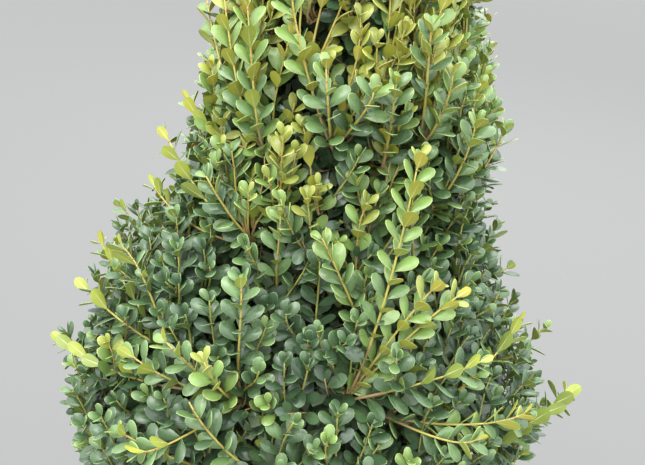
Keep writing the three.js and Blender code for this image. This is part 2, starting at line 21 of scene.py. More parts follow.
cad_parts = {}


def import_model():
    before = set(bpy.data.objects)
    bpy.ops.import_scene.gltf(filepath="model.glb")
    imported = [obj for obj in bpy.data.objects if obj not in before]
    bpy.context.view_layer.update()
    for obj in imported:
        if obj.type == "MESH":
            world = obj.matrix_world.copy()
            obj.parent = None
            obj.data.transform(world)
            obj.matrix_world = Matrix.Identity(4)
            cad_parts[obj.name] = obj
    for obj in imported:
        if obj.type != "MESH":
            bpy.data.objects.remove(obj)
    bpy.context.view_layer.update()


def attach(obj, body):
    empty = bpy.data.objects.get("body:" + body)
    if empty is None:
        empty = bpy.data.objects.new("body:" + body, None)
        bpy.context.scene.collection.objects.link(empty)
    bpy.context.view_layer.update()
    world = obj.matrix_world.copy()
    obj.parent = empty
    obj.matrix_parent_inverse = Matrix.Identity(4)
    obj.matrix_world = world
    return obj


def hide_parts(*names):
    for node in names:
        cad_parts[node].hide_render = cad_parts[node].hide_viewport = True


LOG = logging.getLogger("boxwood")
Array = np.ndarray
Draw = np.random.Generator
Piece = bpy.types.Object
Material = bpy.types.Material
Socket = bpy.types.NodeSocket
Colour = tuple[float, float, float, float]
Triple = tuple[float, float, float]
Pair = tuple[float, float]
Side = tuple[Pair, ...]
BODY = "root"


# Numbers in arrays


def lerp(low: Array | float, high: Array | float, share: Array | float) -> Array:
    """The value a share of the way from low to high."""
    return low + (high - low) * share


def unit(vectors: Array) -> Array:
    """Each vector divided by its length."""
    return vectors / np.maximum(np.linalg.norm(vectors, axis=-1, keepdims=True), 1e-12)


def square_to(vectors: Array, axes: Array) -> Array:
    """The part of each vector at right angles to its unit axis, made one long."""
    return unit(vectors - np.sum(vectors * axes, axis=-1, keepdims=True) * axes)


def spun(vectors: Array, axes: Array, angles: Array) -> Array:
    """Vectors at right angles to their unit axes, turned about them.

    Args:
        vectors: One vector a row.
        axes: The unit axis of each.
        angles: How far each turns, in radians.

    Returns:
        v cos(angle) + (axis x v) sin(angle).
    """
    turn = angles[..., None]
    return vectors * np.cos(turn) + np.cross(axes, vectors) * np.sin(turn)


def bell(distance: Array, spread: float) -> Array:
    """A smooth hump: 1 at no distance, falling as exp(-(distance / spread) squared)."""
    return np.exp(-((distance / spread) ** 2))


@dataclass(frozen=True)
class Ripple:
    """Smooth unevenness made of waves that run in seeded directions.

    Attributes:
        seed: Picks the directions and phases.
        size: Metres from one crest to the next, on average.
        waves: How many waves are added up.
    """

    seed: int
    size: float
    waves: int = 10

    def at(self, points: Array) -> Array:
        """Reads the unevenness at some points.

        Args:
            points: One point a row.

        Returns:
            The sum of sin(direction . point + phase) over the waves, scaled to a spread of about one.
        """
        draw = np.random.default_rng(self.seed)
        turns = unit(draw.normal(size=(self.waves, 3))) * draw.uniform(0.6, 1.5, (self.waves, 1))
        phases = draw.uniform(0, 2 * math.pi, self.waves)
        waves = np.sin(points @ turns.T * (2 * math.pi / self.size) + phases)
        return waves.sum(-1) / math.sqrt(self.waves / 2)


def cubic(t: Array, start: Array, leaving: Array, end: Array, arriving: Array) -> Array:
    """Points on a smooth curve that starts and ends with given slopes.

    Args:
        t: The share of the way, from 0 at the start to 1 at the end.
        start: Where the curve starts.
        leaving: Its slope there.
        end: Where it ends.
        arriving: Its slope there.

    Returns:
        (2t^3 - 3t^2 + 1) start + (t^3 - 2t^2 + t) leaving + (3t^2 - 2t^3) end + (t^3 - t^2) arriving.
    """
    return (
        (2 * t**3 - 3 * t**2 + 1) * start
        + (t**3 - 2 * t**2 + t) * leaving
        + (-2 * t**3 + 3 * t**2) * end
        + (t**3 - t**2) * arriving
    )


def resampled(line: Array, stations: int) -> Array:
    """Evenly spaced points on the smooth curve through a line's points.

    Args:
        line: The points, one a row.
        stations: How many points to make.

    Returns:
        Points of a cubic in each stretch, whose slope at a point is half the step between its neighbours.
    """
    count = len(line)
    slopes = np.gradient(line, axis=0)
    places = np.linspace(0, count - 1, stations)
    lower = np.minimum(places.astype(int), count - 2)
    share = (places - lower)[:, None]
    return cubic(share, line[lower], slopes[lower], line[lower + 1], slopes[lower + 1])


def around(azimuth: Array, radius: Array | float, height: Array | float) -> Array:
    """Points at azimuths in radians, at a radius from the Z axis and a height."""
    spot = np.broadcast_arrays(radius * np.cos(azimuth), radius * np.sin(azimuth), height)
    return np.stack(spot, axis=-1)


# Meshes from arrays


class Gather:
    """Arrays of corners and faces that together become one piece."""

    def __init__(self) -> None:
        """Starts with nothing gathered."""
        self.points: list[Array] = []
        self.faces: list[Array] = []
        self.slots: list[Array] = []
        self.smooth: list[Array] = []
        self.marks: list[Array] = []
        self.count = 0

    def add(
        self,
        points: Array,
        faces: Array,
        slot: int | Array = 0,
        smooth: bool | Array = True,
        marks: Array | float = 0.0,
    ) -> None:
        """Takes in one more surface.

        Args:
            points: Corners, one a row.
            faces: Corner numbers, three or four a row.
            slot: The material of all faces, or of each.
            smooth: Whether the faces are shaded round, for all or for each.
            marks: A number for each corner, which a material can read as "mark".
        """
        self.points.append(points.reshape(-1, 3))
        self.faces.append(faces + self.count)
        self.slots.append(np.broadcast_to(slot, len(faces)))
        self.smooth.append(np.broadcast_to(smooth, len(faces)))
        self.marks.append(np.broadcast_to(marks, len(self.points[-1])))
        self.count += len(self.points[-1])

    def piece(self, name: str, materials: list[Material], slot: str, nodes: list[str]) -> Piece:
        """Makes the gathered surfaces one object that rides on the plant's body.

        Args:
            name: The piece's name.
            materials: Its materials, in the order of the slots.
            slot: The record's material slot; not used.
            nodes: The solids that it stands for.

        Returns:
            The new object.
        """
        mesh = bpy.data.meshes.new(name)
        sizes = np.concatenate([np.full(len(faces), faces.shape[1]) for faces in self.faces])
        corners = np.concatenate([faces.ravel() for faces in self.faces])
        mesh.vertices.add(self.count)
        mesh.vertices.foreach_set("co", np.concatenate(self.points).astype(np.float32).ravel())
        mesh.loops.add(len(corners))
        mesh.loops.foreach_set("vertex_index", corners.astype(np.int32))
        mesh.polygons.add(len(sizes))
        mesh.polygons.foreach_set("loop_start", (np.cumsum(sizes) - sizes).astype(np.int32))
        for material in materials:
            mesh.materials.append(material)
        mesh.polygons.foreach_set("material_index", np.concatenate(self.slots).astype(np.int32))
        mesh.polygons.foreach_set("use_smooth", np.concatenate(self.smooth))
        marks = mesh.attributes.new("mark", "FLOAT", "POINT")
        marks.data.foreach_set("value", np.concatenate(self.marks).astype(np.float32))
        mesh.update(calc_edges=True)
        piece = linked(name, mesh)
        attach(piece, BODY)
        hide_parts(*nodes)
        LOG.info("%s: %d triangles", name, int(np.sum(sizes - 2)))
        return piece


def grid_faces(rows: int, columns: int, closed: bool) -> Array:
    """Four-cornered faces between neighbouring rows and columns of a grid of corners.

    Args:
        rows: Rows of corners.
        columns: Corners in a row.
        closed: Whether the last column joins the first.

    Returns:
        Corner numbers (rows - 1, columns or columns - 1, 4), in the order here, right, up-right, up.
    """
    numbers = np.arange(rows * columns).reshape(rows, columns)
    right = np.roll(numbers, -1, axis=1)
    faces = np.stack([numbers[:-1], right[:-1], right[1:], numbers[1:]], axis=-1)
    return faces if closed else faces[:, :-1]


def band(corners: int) -> Array:
    """Triangles between a ring of corners and a second ring.

    Args:
        corners: Corners in a ring.

    Returns:
        Corner numbers, where those of the second ring follow on from the first.
    """
    first = np.arange(corners)
    after = np.roll(first, -1)
    lower = np.stack([first, after, after + corners], -1)
    return np.concatenate([lower, np.stack([first, after + corners, first + corners], -1)])


def capped(rows: int, columns: int) -> Array:
    """Triangles of a closed tube of rings, with a fan at either end.

    Args:
        rows: Rings.
        columns: Corners in a ring.

    Returns:
        Corner numbers. The fans' two middles come after all rings, the first ring's one first.
    """
    quads = grid_faces(rows, columns, closed=True)
    wall = np.concatenate([quads[..., [0, 1, 2]], quads[..., [0, 2, 3]]], axis=1).reshape(-1, 3)
    first = np.arange(columns)
    after = np.roll(first, -1)
    count, last = rows * columns, (rows - 1) * columns
    under = np.stack([np.full(columns, count), after, first], -1)
    over = np.stack([np.full(columns, count + 1), last + first, last + after], -1)
    return np.concatenate([wall, under, over])


def tubes(lines: Array, radii: Array, sides: int) -> tuple[Array, Array, Array]:
    """Corners and faces of many tapering limbs at once.

    Each station of a line carries a ring of corners in the plane square to the line, at its radius. The
    ring's first direction is carried along the line without twisting, and one more corner closes each end.

    Args:
        lines: Points (limbs, stations, 3).
        radii: Radius of each station, or of each corner, (limbs, stations) or (limbs, stations, sides).
        sides: Corners in a ring.

    Returns:
        Corners, triangles, and how far along its limb each triangle lies, from 0 to 1.
    """
    limbs, stations, _ = lines.shape
    along = unit(np.gradient(lines, axis=1))
    side = np.where(np.abs(along[:, 0, 2:]) < 0.9, [[0.0, 0.0, 1.0]], [[1.0, 0.0, 0.0]])
    across = np.empty_like(lines)
    for station in range(stations):
        side = square_to(side, along[:, station])
        across[:, station] = side
    other = np.cross(along, across)
    angles = np.linspace(0, 2 * math.pi, sides, endpoint=False)[:, None]
    ring = across[:, :, None] * np.cos(angles) + other[:, :, None] * np.sin(angles)
    sizes = radii[..., None, None] if radii.ndim == 2 else radii[..., None]
    rings = (lines[:, :, None] + ring * sizes).reshape(limbs, -1, 3)
    points = np.concatenate([rings, lines[:, :1], lines[:, -1:]], axis=1)
    walls = np.repeat(np.linspace(0, 1, stations - 1), 2 * sides)
    shares = np.concatenate([walls, np.zeros(sides), np.ones(sides)])
    return points.reshape(-1, 3), repeated(capped(stations, sides), points), np.tile(shares, limbs)


def repeated(one: Array, points: Array) -> Array:
    """The faces of one shape, repeated for every copy of its corners (copies, corners, 3)."""
    copies, corners, _ = points.shape
    return (one + corners * np.arange(copies)[:, None, None]).reshape(-1, one.shape[1])


def arc_line(start: Array, middle: Array, end: Array, steps: int) -> Array:
    """A smooth bend from start to end, drawn towards middle: (1-t)^2 start + 2t(1-t) middle + t^2 end."""
    share = np.linspace(0, 1, steps)[:, None]
    return (1 - share) ** 2 * start + 2 * share * (1 - share) * middle + share**2 * end


# Materials


def colour(code: str) -> Colour:
    """The linear colour of six hexadecimal digits, by the usual curve of screens, at an opacity of 1."""
    tones = [value / 255 for value in bytes.fromhex(code)]
    return (*(tone / 12.92 if tone < 0.04045 else ((tone + 0.055) / 1.055) ** 2.4 for tone in tones), 1.0)


def shifted(code: str, factor: float) -> str:
    """A colour with each of its values scaled."""
    return bytes(min(int(value * factor), 255) for value in bytes.fromhex(code)).hex()


def added(
    tree: bpy.types.NodeTree, kind: str, inputs: dict[str | int, Socket | float | Colour], **settings: str
) -> bpy.types.Node:
    """Adds a node to a tree.

    Args:
        tree: The tree.
        kind: The node's type, without "ShaderNode" before it.
        inputs: For each input, the socket that drives it or its fixed value.
        settings: The node's own settings.

    Returns:
        The node.
    """
    node = tree.nodes.new(f"ShaderNode{kind}")
    for name, value in settings.items():
        setattr(node, name, value)
    for name, value in inputs.items():
        if isinstance(value, Socket):
            tree.links.new(value, node.inputs[name])
        else:
            node.inputs[name].default_value = value
    return node


class Shader:
    """A new material's nodes, with short calls for those that the finishes share."""

    def __init__(self, name: str) -> None:
        """Starts from the plain Principled material.

        Args:
            name: The material's name.
        """
        self.material = bpy.data.materials.new(name)
        self.material.use_nodes = True
        self.tree = self.material.node_tree
        self.surface = self.tree.nodes["Principled BSDF"]

    def set(self, socket: str, value: float | Colour) -> None:
        """Sets one of the surface's own values."""
        self.surface.inputs[socket].default_value = value

    def link(self, source: Socket, socket: str) -> None:
        """Drives one of the surface's values by a node."""
        self.tree.links.new(source, self.surface.inputs[socket])

    def noise(self, size: float, detail: float = 3.0, stretch: tuple[float, ...] = (1, 1, 1)) -> Socket:
        """Cloudy noise in the piece's own space.

        Args:
            size: Metres across one patch.
            detail: How many finer layers it has.
            stretch: How much longer the patches are along X, Y and Z.

        Returns:
            A value from 0 to 1.
        """
        place = added(self.tree, "TexCoord", {}).outputs["Object"]
        scale = [1 / (size * share) for share in stretch]
        scaled = added(self.tree, "Mapping", {"Vector": place, "Scale": scale}).outputs["Vector"]
        return added(self.tree, "TexNoise", {"Vector": scaled, "Scale": 1.0, "Detail": detail}).outputs["Fac"]

    def mark(self) -> Socket:
        """The number that the mesh holds at each corner."""
        return added(self.tree, "Attribute", {}, attribute_name="mark").outputs["Fac"]

    def ranged(self, source: Socket, low: float, high: float, first: float = 0, last: float = 1) -> Socket:
        """Maps low and high of the source to first and last in a straight line, held beyond both ends."""
        ends = {"From Min": low, "From Max": high, "To Min": first, "To Max": last}
        return added(self.tree, "MapRange", {"Value": source, **ends}).outputs["Result"]

    def product(self, one: Socket, other: Socket) -> Socket:
        """One value times another."""
        return added(self.tree, "Math", {0: one, 1: other}, operation="MULTIPLY").outputs[0]

    def mixed(self, share: Socket, low: Socket | Colour, high: Socket | Colour) -> Socket:
        """The colour that goes from low to high as share goes from 0 to 1."""
        return added(self.tree, "Mix", {0: share, 6: low, 7: high}, data_type="RGBA").outputs[2]

    def bumped(self, height: Socket, strength: float, distance: float) -> None:
        """Roughens the surface by a height, in metres at full strength."""
        bump = added(self.tree, "Bump", {"Strength": strength, "Distance": distance, "Height": height})
        self.link(bump.outputs["Normal"], "Normal")


@dataclass(frozen=True)
class SoftFinish:
    """A matt or glossy living surface: two near colours in patches, with a fine grain.

    Attributes:
        name: The material's name.
        low: The darker colour.
        high: The lighter colour.
        patch: Metres across a patch of one colour.
        roughness: How matt it is.
        grain: Height of the fine grain in metres.
        gloss: How strongly it mirrors, where 0.5 is common.
    """

    name: str
    low: str
    high: str
    patch: float = 0.02
    roughness: float = 0.45
    grain: float = 0.0002
    gloss: float = 0.5

    def make(self) -> Material:
        """Builds the material."""
        shader = Shader(self.name)
        patches = shader.ranged(shader.noise(self.patch, 2.0), 0.3, 0.7)
        shader.link(shader.mixed(patches, colour(self.low), colour(self.high)), "Base Color")
        fine = shader.noise(0.0016, 2.0)
        matt = shader.ranged(fine, 0.25, 0.75, self.roughness - 0.06, self.roughness + 0.08)
        shader.link(matt, "Roughness")
        shader.bumped(fine, 0.5, self.grain)
        shader.set("Specular IOR Level", self.gloss)
        return shader.material


class Age(Enum):
    """How old a spray of leaves is: name, upper side, underside, pale edge, and roughness. The underside is
    its own paler colour brightened as painted glow, and the pale edge is mostly painted highlight.
    """

    # Underside colours: the leaf's own paler yellow-green, made brighter as a painted glow of light shining
    # through. Edge colours: partly the margin's own tone, mostly a painted highlight of light catching the
    # rolled margin.
    HOLLOW = ("hollow", "445538", "68713f", "5b6c47", 0.60)
    OLD = ("old", "374e34", "6c8040", "5d794a", 0.31)
    GREEN = ("green", "425b39", "809043", "738f5a", 0.30)
    FRESH = ("fresh", "5a7646", "99a445", "93aa6b", 0.31)
    LIME = ("lime", "6f8a47", "a4a53f", "a8b86e", 0.34)
    GOLD = ("gold", "8c9542", "aba23d", "b9bd70", 0.40)
    RUST = ("rust", "cb8a3e", "c4904a", "dcb277", 0.5)

    def finishes(self) -> list[SoftFinish]:
        """The finishes of the upper side, the underside with its painted glow, and the edge with its painted
        highlight.
        """
        name, upper, under, edge, roughness = self.value
        return [
            SoftFinish(f"leaf_{name}_upper", upper, shifted(upper, 1.16), 0.018, roughness, 0.0001, 0.75),
            # Underside: own colour brightened by painted glow of light through the leaf.
            SoftFinish(f"leaf_{name}_under", under, shifted(under, 1.12), 0.018, roughness + 0.14, 0.0001),
            # Edge: paler mostly as a painted highlight on the rolled margin.
            SoftFinish(f"leaf_{name}_edge", edge, shifted(edge, 1.08), 0.018, roughness + 0.1, 0.0001),
        ]


@dataclass(frozen=True)
class BarkFinish:
    """Corky bark: pale plates with dark furrows, which the mesh marks, and faint green patches."""

    name: str
    plate: str
    pale: str
    furrow: str
    moss: str = "7d8462"

    def make(self) -> Material:
        """Builds the material."""
        shader = Shader(self.name)
        streaks = shader.ranged(shader.noise(0.004, 4.0, (1, 1, 5)), 0.3, 0.72)
        plates = shader.mixed(streaks, colour(self.plate), colour(self.pale))
        patches = shader.ranged(shader.noise(0.05, 3.0), 0.52, 0.72, 0.0, 0.45)
        greened = shader.mixed(patches, plates, colour(self.moss))
        furrows = shader.ranged(shader.mark(), 0.1, 0.9)
        shader.link(shader.mixed(furrows, greened, colour(self.furrow)), "Base Color")
        shader.set("Roughness", 0.88)
        shader.bumped(shader.noise(0.0018, 4.0, (1, 1, 3)), 0.6, 0.0007)
        return shader.material


@dataclass(frozen=True)
class PlasticFinish:
    """Black nursery plastic: greyed by the sun, paler along worn edges, with a little dust."""

    name: str
    base: str = "1b1d20"
    worn: str = "4d5156"
    dust: str = "4a443c"

    def make(self) -> Material:
        """Builds the material."""
        shader = Shader(self.name)
        cloud = shader.ranged(shader.noise(0.12, 3.0), 0.3, 0.75, 0.0, 0.22)
        greyed = shader.mixed(cloud, colour(self.base), colour(shifted(self.base, 1.7)))
        settled = shader.ranged(shader.noise(0.05, 4.0, (1, 1, 0.4)), 0.55, 0.85, 0.0, 0.22)
        dusty = shader.mixed(settled, greyed, colour(self.dust))
        broken = shader.ranged(shader.noise(0.012, 4.0, (1, 1, 2.5)), 0.35, 0.75, 0.0, 0.7)
        scuffs = shader.product(shader.mark(), broken)
        shader.link(shader.mixed(scuffs, dusty, colour(self.worn)), "Base Color")
        shader.link(shader.ranged(shader.noise(0.03, 3.0), 0.3, 0.7, 0.40, 0.54), "Roughness")
        shader.bumped(shader.noise(0.0011, 3.0), 0.35, 0.0004)
        return shader.material


@dataclass(frozen=True)
class EarthFinish:
    """Damp bark mould or a weathered chip: two colours in fine fibres, quite matt."""

    name: str
    low: str
    high: str
    fibre: float = 0.002

    def make(self) -> Material:
        """Builds the material."""
        shader = Shader(self.name)
        fibres = shader.ranged(shader.noise(self.fibre, 5.0, (2.5, 1, 1)), 0.3, 0.7)
        shader.link(shader.mixed(fibres, colour(self.low), colour(self.high)), "Base Color")
        shader.link(shader.ranged(shader.noise(0.01, 3.0), 0.35, 0.65, 0.72, 0.95), "Roughness")
        shader.bumped(shader.noise(self.fibre, 5.0, (2.5, 1, 1)), 0.7, 0.001)
        return shader.material


# Pot and mulch


@dataclass(frozen=True)
class NurseryPot:
    """The tapered tub with its flat lip, hanging skirt, two hooded grip lugs and drain slots."""

    height: float = 0.394
    base_radius: float = 0.186
    mouth_radius: float = 0.210
    wall: float = 0.0026
    floor: float = 0.004
    lip_width: float = 0.012
    lip_drop: float = 0.024
    step_height: float = 0.318
    step_depth: float = 0.0012
    step_slope: float = 0.003
    ridge_heights: tuple[float, ...] = (0.298, 0.305, 0.312)
    ridge: float = 0.0007
    ridge_half: float = 0.0011
    heel: float = 0.004
    edge_radius: float = 0.0025
    lug_reach: float = 0.024
    lug_half_arc: float = 13.0
    lug_azimuths: tuple[float, ...] = (150.0, -30.0)
    slots: int = 8
    slot_width: float = 0.024
    slot_low: float = 0.009
    slot_high: float = 0.027
    worn_all_over: float = 0.12

    def taper(self, height: Array | float) -> Array:
        """The wall's outer radius at a height, by a straight taper from the foot to the mouth."""
        return lerp(self.base_radius, self.mouth_radius + self.wall, np.asarray(height) / self.height)

    def outer(self, height: Array | float) -> Array:
        """The wall's outer radius: its taper, set in under the stacking step, plus a bell at each ridge.

        Args:
            height: Metres above the ground.

        Returns:
            Metres from the tub's axis.
        """
        stepped = self.step_depth * np.clip((self.step_height - np.asarray(height)) / self.step_slope, 0, 1)
        rises = np.asarray(height)[..., None] - self.ridge_heights
        return self.taper(height) - stepped + self.ridge * bell(rises, self.ridge_half).sum(axis=-1)

    def section(self) -> tuple[Array, int, int]:
        """The wall's outline from the middle of its underside, out, up, over the lip and down inside.

        Returns:
            Pairs of radius and height, the first outer row at a slot, and the first inner row at a slot.
        """
        lip_outer = self.mouth_radius + self.lip_width
        lip_under = self.height - self.wall
        lip_foot = self.height - self.lip_drop
        bend = np.radians(np.linspace(-90, 0, 5)[:, None])
        foot = self.base_radius - self.heel + 0.0003
        corner = np.hstack([foot + self.heel * np.cos(bend), self.heel + self.heel * np.sin(bend)])
        rise = np.array([self.slot_low, self.slot_high, 0.06, 0.15, 0.24])
        fine = np.linspace(0.292, 0.326, 27)
        levels = np.concatenate([rise, fine, [0.345, lip_under - 0.001]])
        outside = np.stack([self.outer(levels), levels], axis=-1)
        edges = [
            (self.outer(lip_under), lip_under),
            (lip_outer - self.wall, lip_under),
            (lip_outer - self.wall, lip_foot + 0.001),
            (lip_outer - 0.5 * self.wall, lip_foot),
            (lip_outer - 0.0004, lip_foot + 0.0003),
            (lip_outer, lip_foot + 0.0015),
            (lip_outer - 0.0003, lip_foot + 0.012),
        ]
        radius, bend = self.edge_radius, np.radians(np.linspace(0, 90, 6))
        over, under = radius * np.cos(bend), radius * np.sin(bend)
        outer_edge = np.stack([lip_outer - radius + over, self.height - radius + under], axis=-1)
        inner_edge = np.stack([self.mouth_radius + radius - under, self.height - radius + over], axis=-1)
        down = np.array([0.372, 0.345, 0.2, 0.06, self.slot_high, self.slot_low])
        inside = np.stack([self.taper(down) - self.wall, down], axis=-1)
        inner_foot = self.base_radius - self.wall
        close = [
            (inner_foot - 0.0005, self.floor + 0.002),
            (inner_foot - 0.002, self.floor),
            (0.0, self.floor),
        ]
        parts = [[(0.0, 0.0), (0.17, 0.0)], corner, outside, edges, outer_edge, inner_edge, inside, close]
        outline = np.vstack([np.asarray(part, float).reshape(-1, 2) for part in parts])
        first_outer = 2 + len(corner)
        first_inner = len(outline) - len(close) - 2
        return outline, first_outer, first_inner

    def columns(self) -> tuple[Array, Array]:
        """The azimuths of the tub's columns, and whether a slot starts at each.

        Returns:
            Radians round the tub, and a flag for the columns that a slot opens.
        """
        half = math.degrees(math.asin(0.5 * self.slot_width / self.base_radius))
        step = 180 / self.slots
        left = np.linspace(-step, -half, 6, endpoint=False)
        slot = np.linspace(-half, half, 4, endpoint=False)
        right = np.linspace(half, step, 6, endpoint=False)
        sector = np.concatenate([left, slot, right])
        opened = np.concatenate([np.zeros(6, bool), np.ones(4, bool), np.zeros(6, bool)])
        middles = (np.arange(self.slots) + 0.5) * 2 * step
        return np.radians((middles[:, None] + sector).ravel()), np.tile(opened, self.slots)

    def tub(self, gather: Gather) -> None:
        """Turns the outline round the axis, leaves the slots open and lines their sides.

        Args:
            gather: Takes the tub.
        """
        outline, outer_row, inner_row = self.section()
        azimuths, opened = self.columns()
        rows, columns = len(outline), len(azimuths)
        wobble = 1 + 0.0012 * np.sin(2 * azimuths + 0.7) + 0.0005 * np.sin(5 * azimuths)
        radii = outline[:, :1] * np.where(outline[:, 1:] > 0.05, wobble, 1.0)
        points = around(azimuths, radii, outline[:, 1:])
        faces = grid_faces(rows, columns, closed=True)
        keep = np.ones(faces.shape[:2], bool)
        keep[outer_row, opened] = False
        keep[inner_row, opened] = False
        numbers = np.arange(rows * columns).reshape(rows, columns)
        after = np.roll(numbers, -1, axis=1)
        low, high = outer_row, outer_row + 1
        in_high, in_low = inner_row, inner_row + 1
        sill = np.stack([numbers[low], numbers[in_low], after[in_low], after[low]], -1)[opened]
        head = np.stack([numbers[high], after[high], after[in_high], numbers[in_high]], -1)[opened]
        starts = opened & ~np.roll(opened, 1)
        ends = ~opened & np.roll(opened, 1)
        jamb = np.stack([numbers[low], numbers[high], numbers[in_high], numbers[in_low]], -1)
        sides = np.concatenate([jamb[starts], jamb[ends][:, ::-1]])
        out, up = outline.T
        edge = bell(up - self.height, 0.004) * bell(out - self.mouth_radius - self.lip_width, 0.004)
        skirt = bell(up - self.height + self.lip_drop, 0.003) * (out > self.mouth_radius + 0.008)
        heel = 0.6 * bell(up, 0.006) * (out > 0.18)
        marks = np.repeat(np.clip(edge + skirt + heel + self.worn_all_over, 0, 1), columns)
        flat = np.concatenate([faces[keep], sill, head, sides])
        gather.add(points, flat, smooth=True, marks=marks)

    def lugs(self, gather: Gather) -> None:
        """Adds the hooded grips: a lip section drawn round an arc, its reach fading to none at both ends.

        The reach falls from the middle as the fifth root of 1 - s^9, where s is the share of the half arc.

        Args:
            gather: Takes the grips.
        """
        lip_outer = self.mouth_radius + self.lip_width - 0.0008
        lip_foot = self.height - self.lip_drop
        sweep = np.linspace(-1, 1, 41)
        reach = self.lug_reach * (1 - np.abs(sweep) ** 9) ** (1 / 5) + 0.0008
        wall = np.minimum(self.wall, 0.5 * reach)
        bend = np.radians(np.linspace(90, 0, 6))
        radius = np.minimum(0.004, 0.4 * reach)
        top = self.height - 0.0006
        rows = [(0.0, top)]
        for turn in bend:
            rows.append((reach - radius * (1 - math.cos(turn)), top - radius * (1 - math.sin(turn))))
        rows += [
            (reach - 0.0002, lip_foot + 0.008),
            (reach, lip_foot + 0.001),
            (reach - 0.0006, lip_foot),
            (reach - wall, lip_foot + 0.0004),
            (reach - wall, top - radius - wall),
            (reach - wall - 0.5 * radius, top - wall * 1.15),
            (0.0, top - wall),
        ]
        out, up = (np.array([value + 0 * reach for value in column]) for column in zip(*rows))
        worn = bell(up - lip_foot, 0.003) + bell(up - top, 0.003) * bell(out - reach, 0.005)
        worn = np.clip(worn + self.worn_all_over, 0, 1)
        for azimuth in self.lug_azimuths:
            points = around(np.radians(azimuth + self.lug_half_arc * sweep), lip_outer + out, up)
            faces = grid_faces(len(rows), len(sweep), closed=False).reshape(-1, 4)[:, ::-1]
            gather.add(points, faces, marks=worn.ravel())

    def build(self) -> Piece:
        """Makes the pot as one piece."""
        gather = Gather()
        self.tub(gather)
        self.lugs(gather)
        return gather.piece("nursery_pot", [PlasticFinish("nursery_plastic").make()], "pot_plastic", ["pot"])


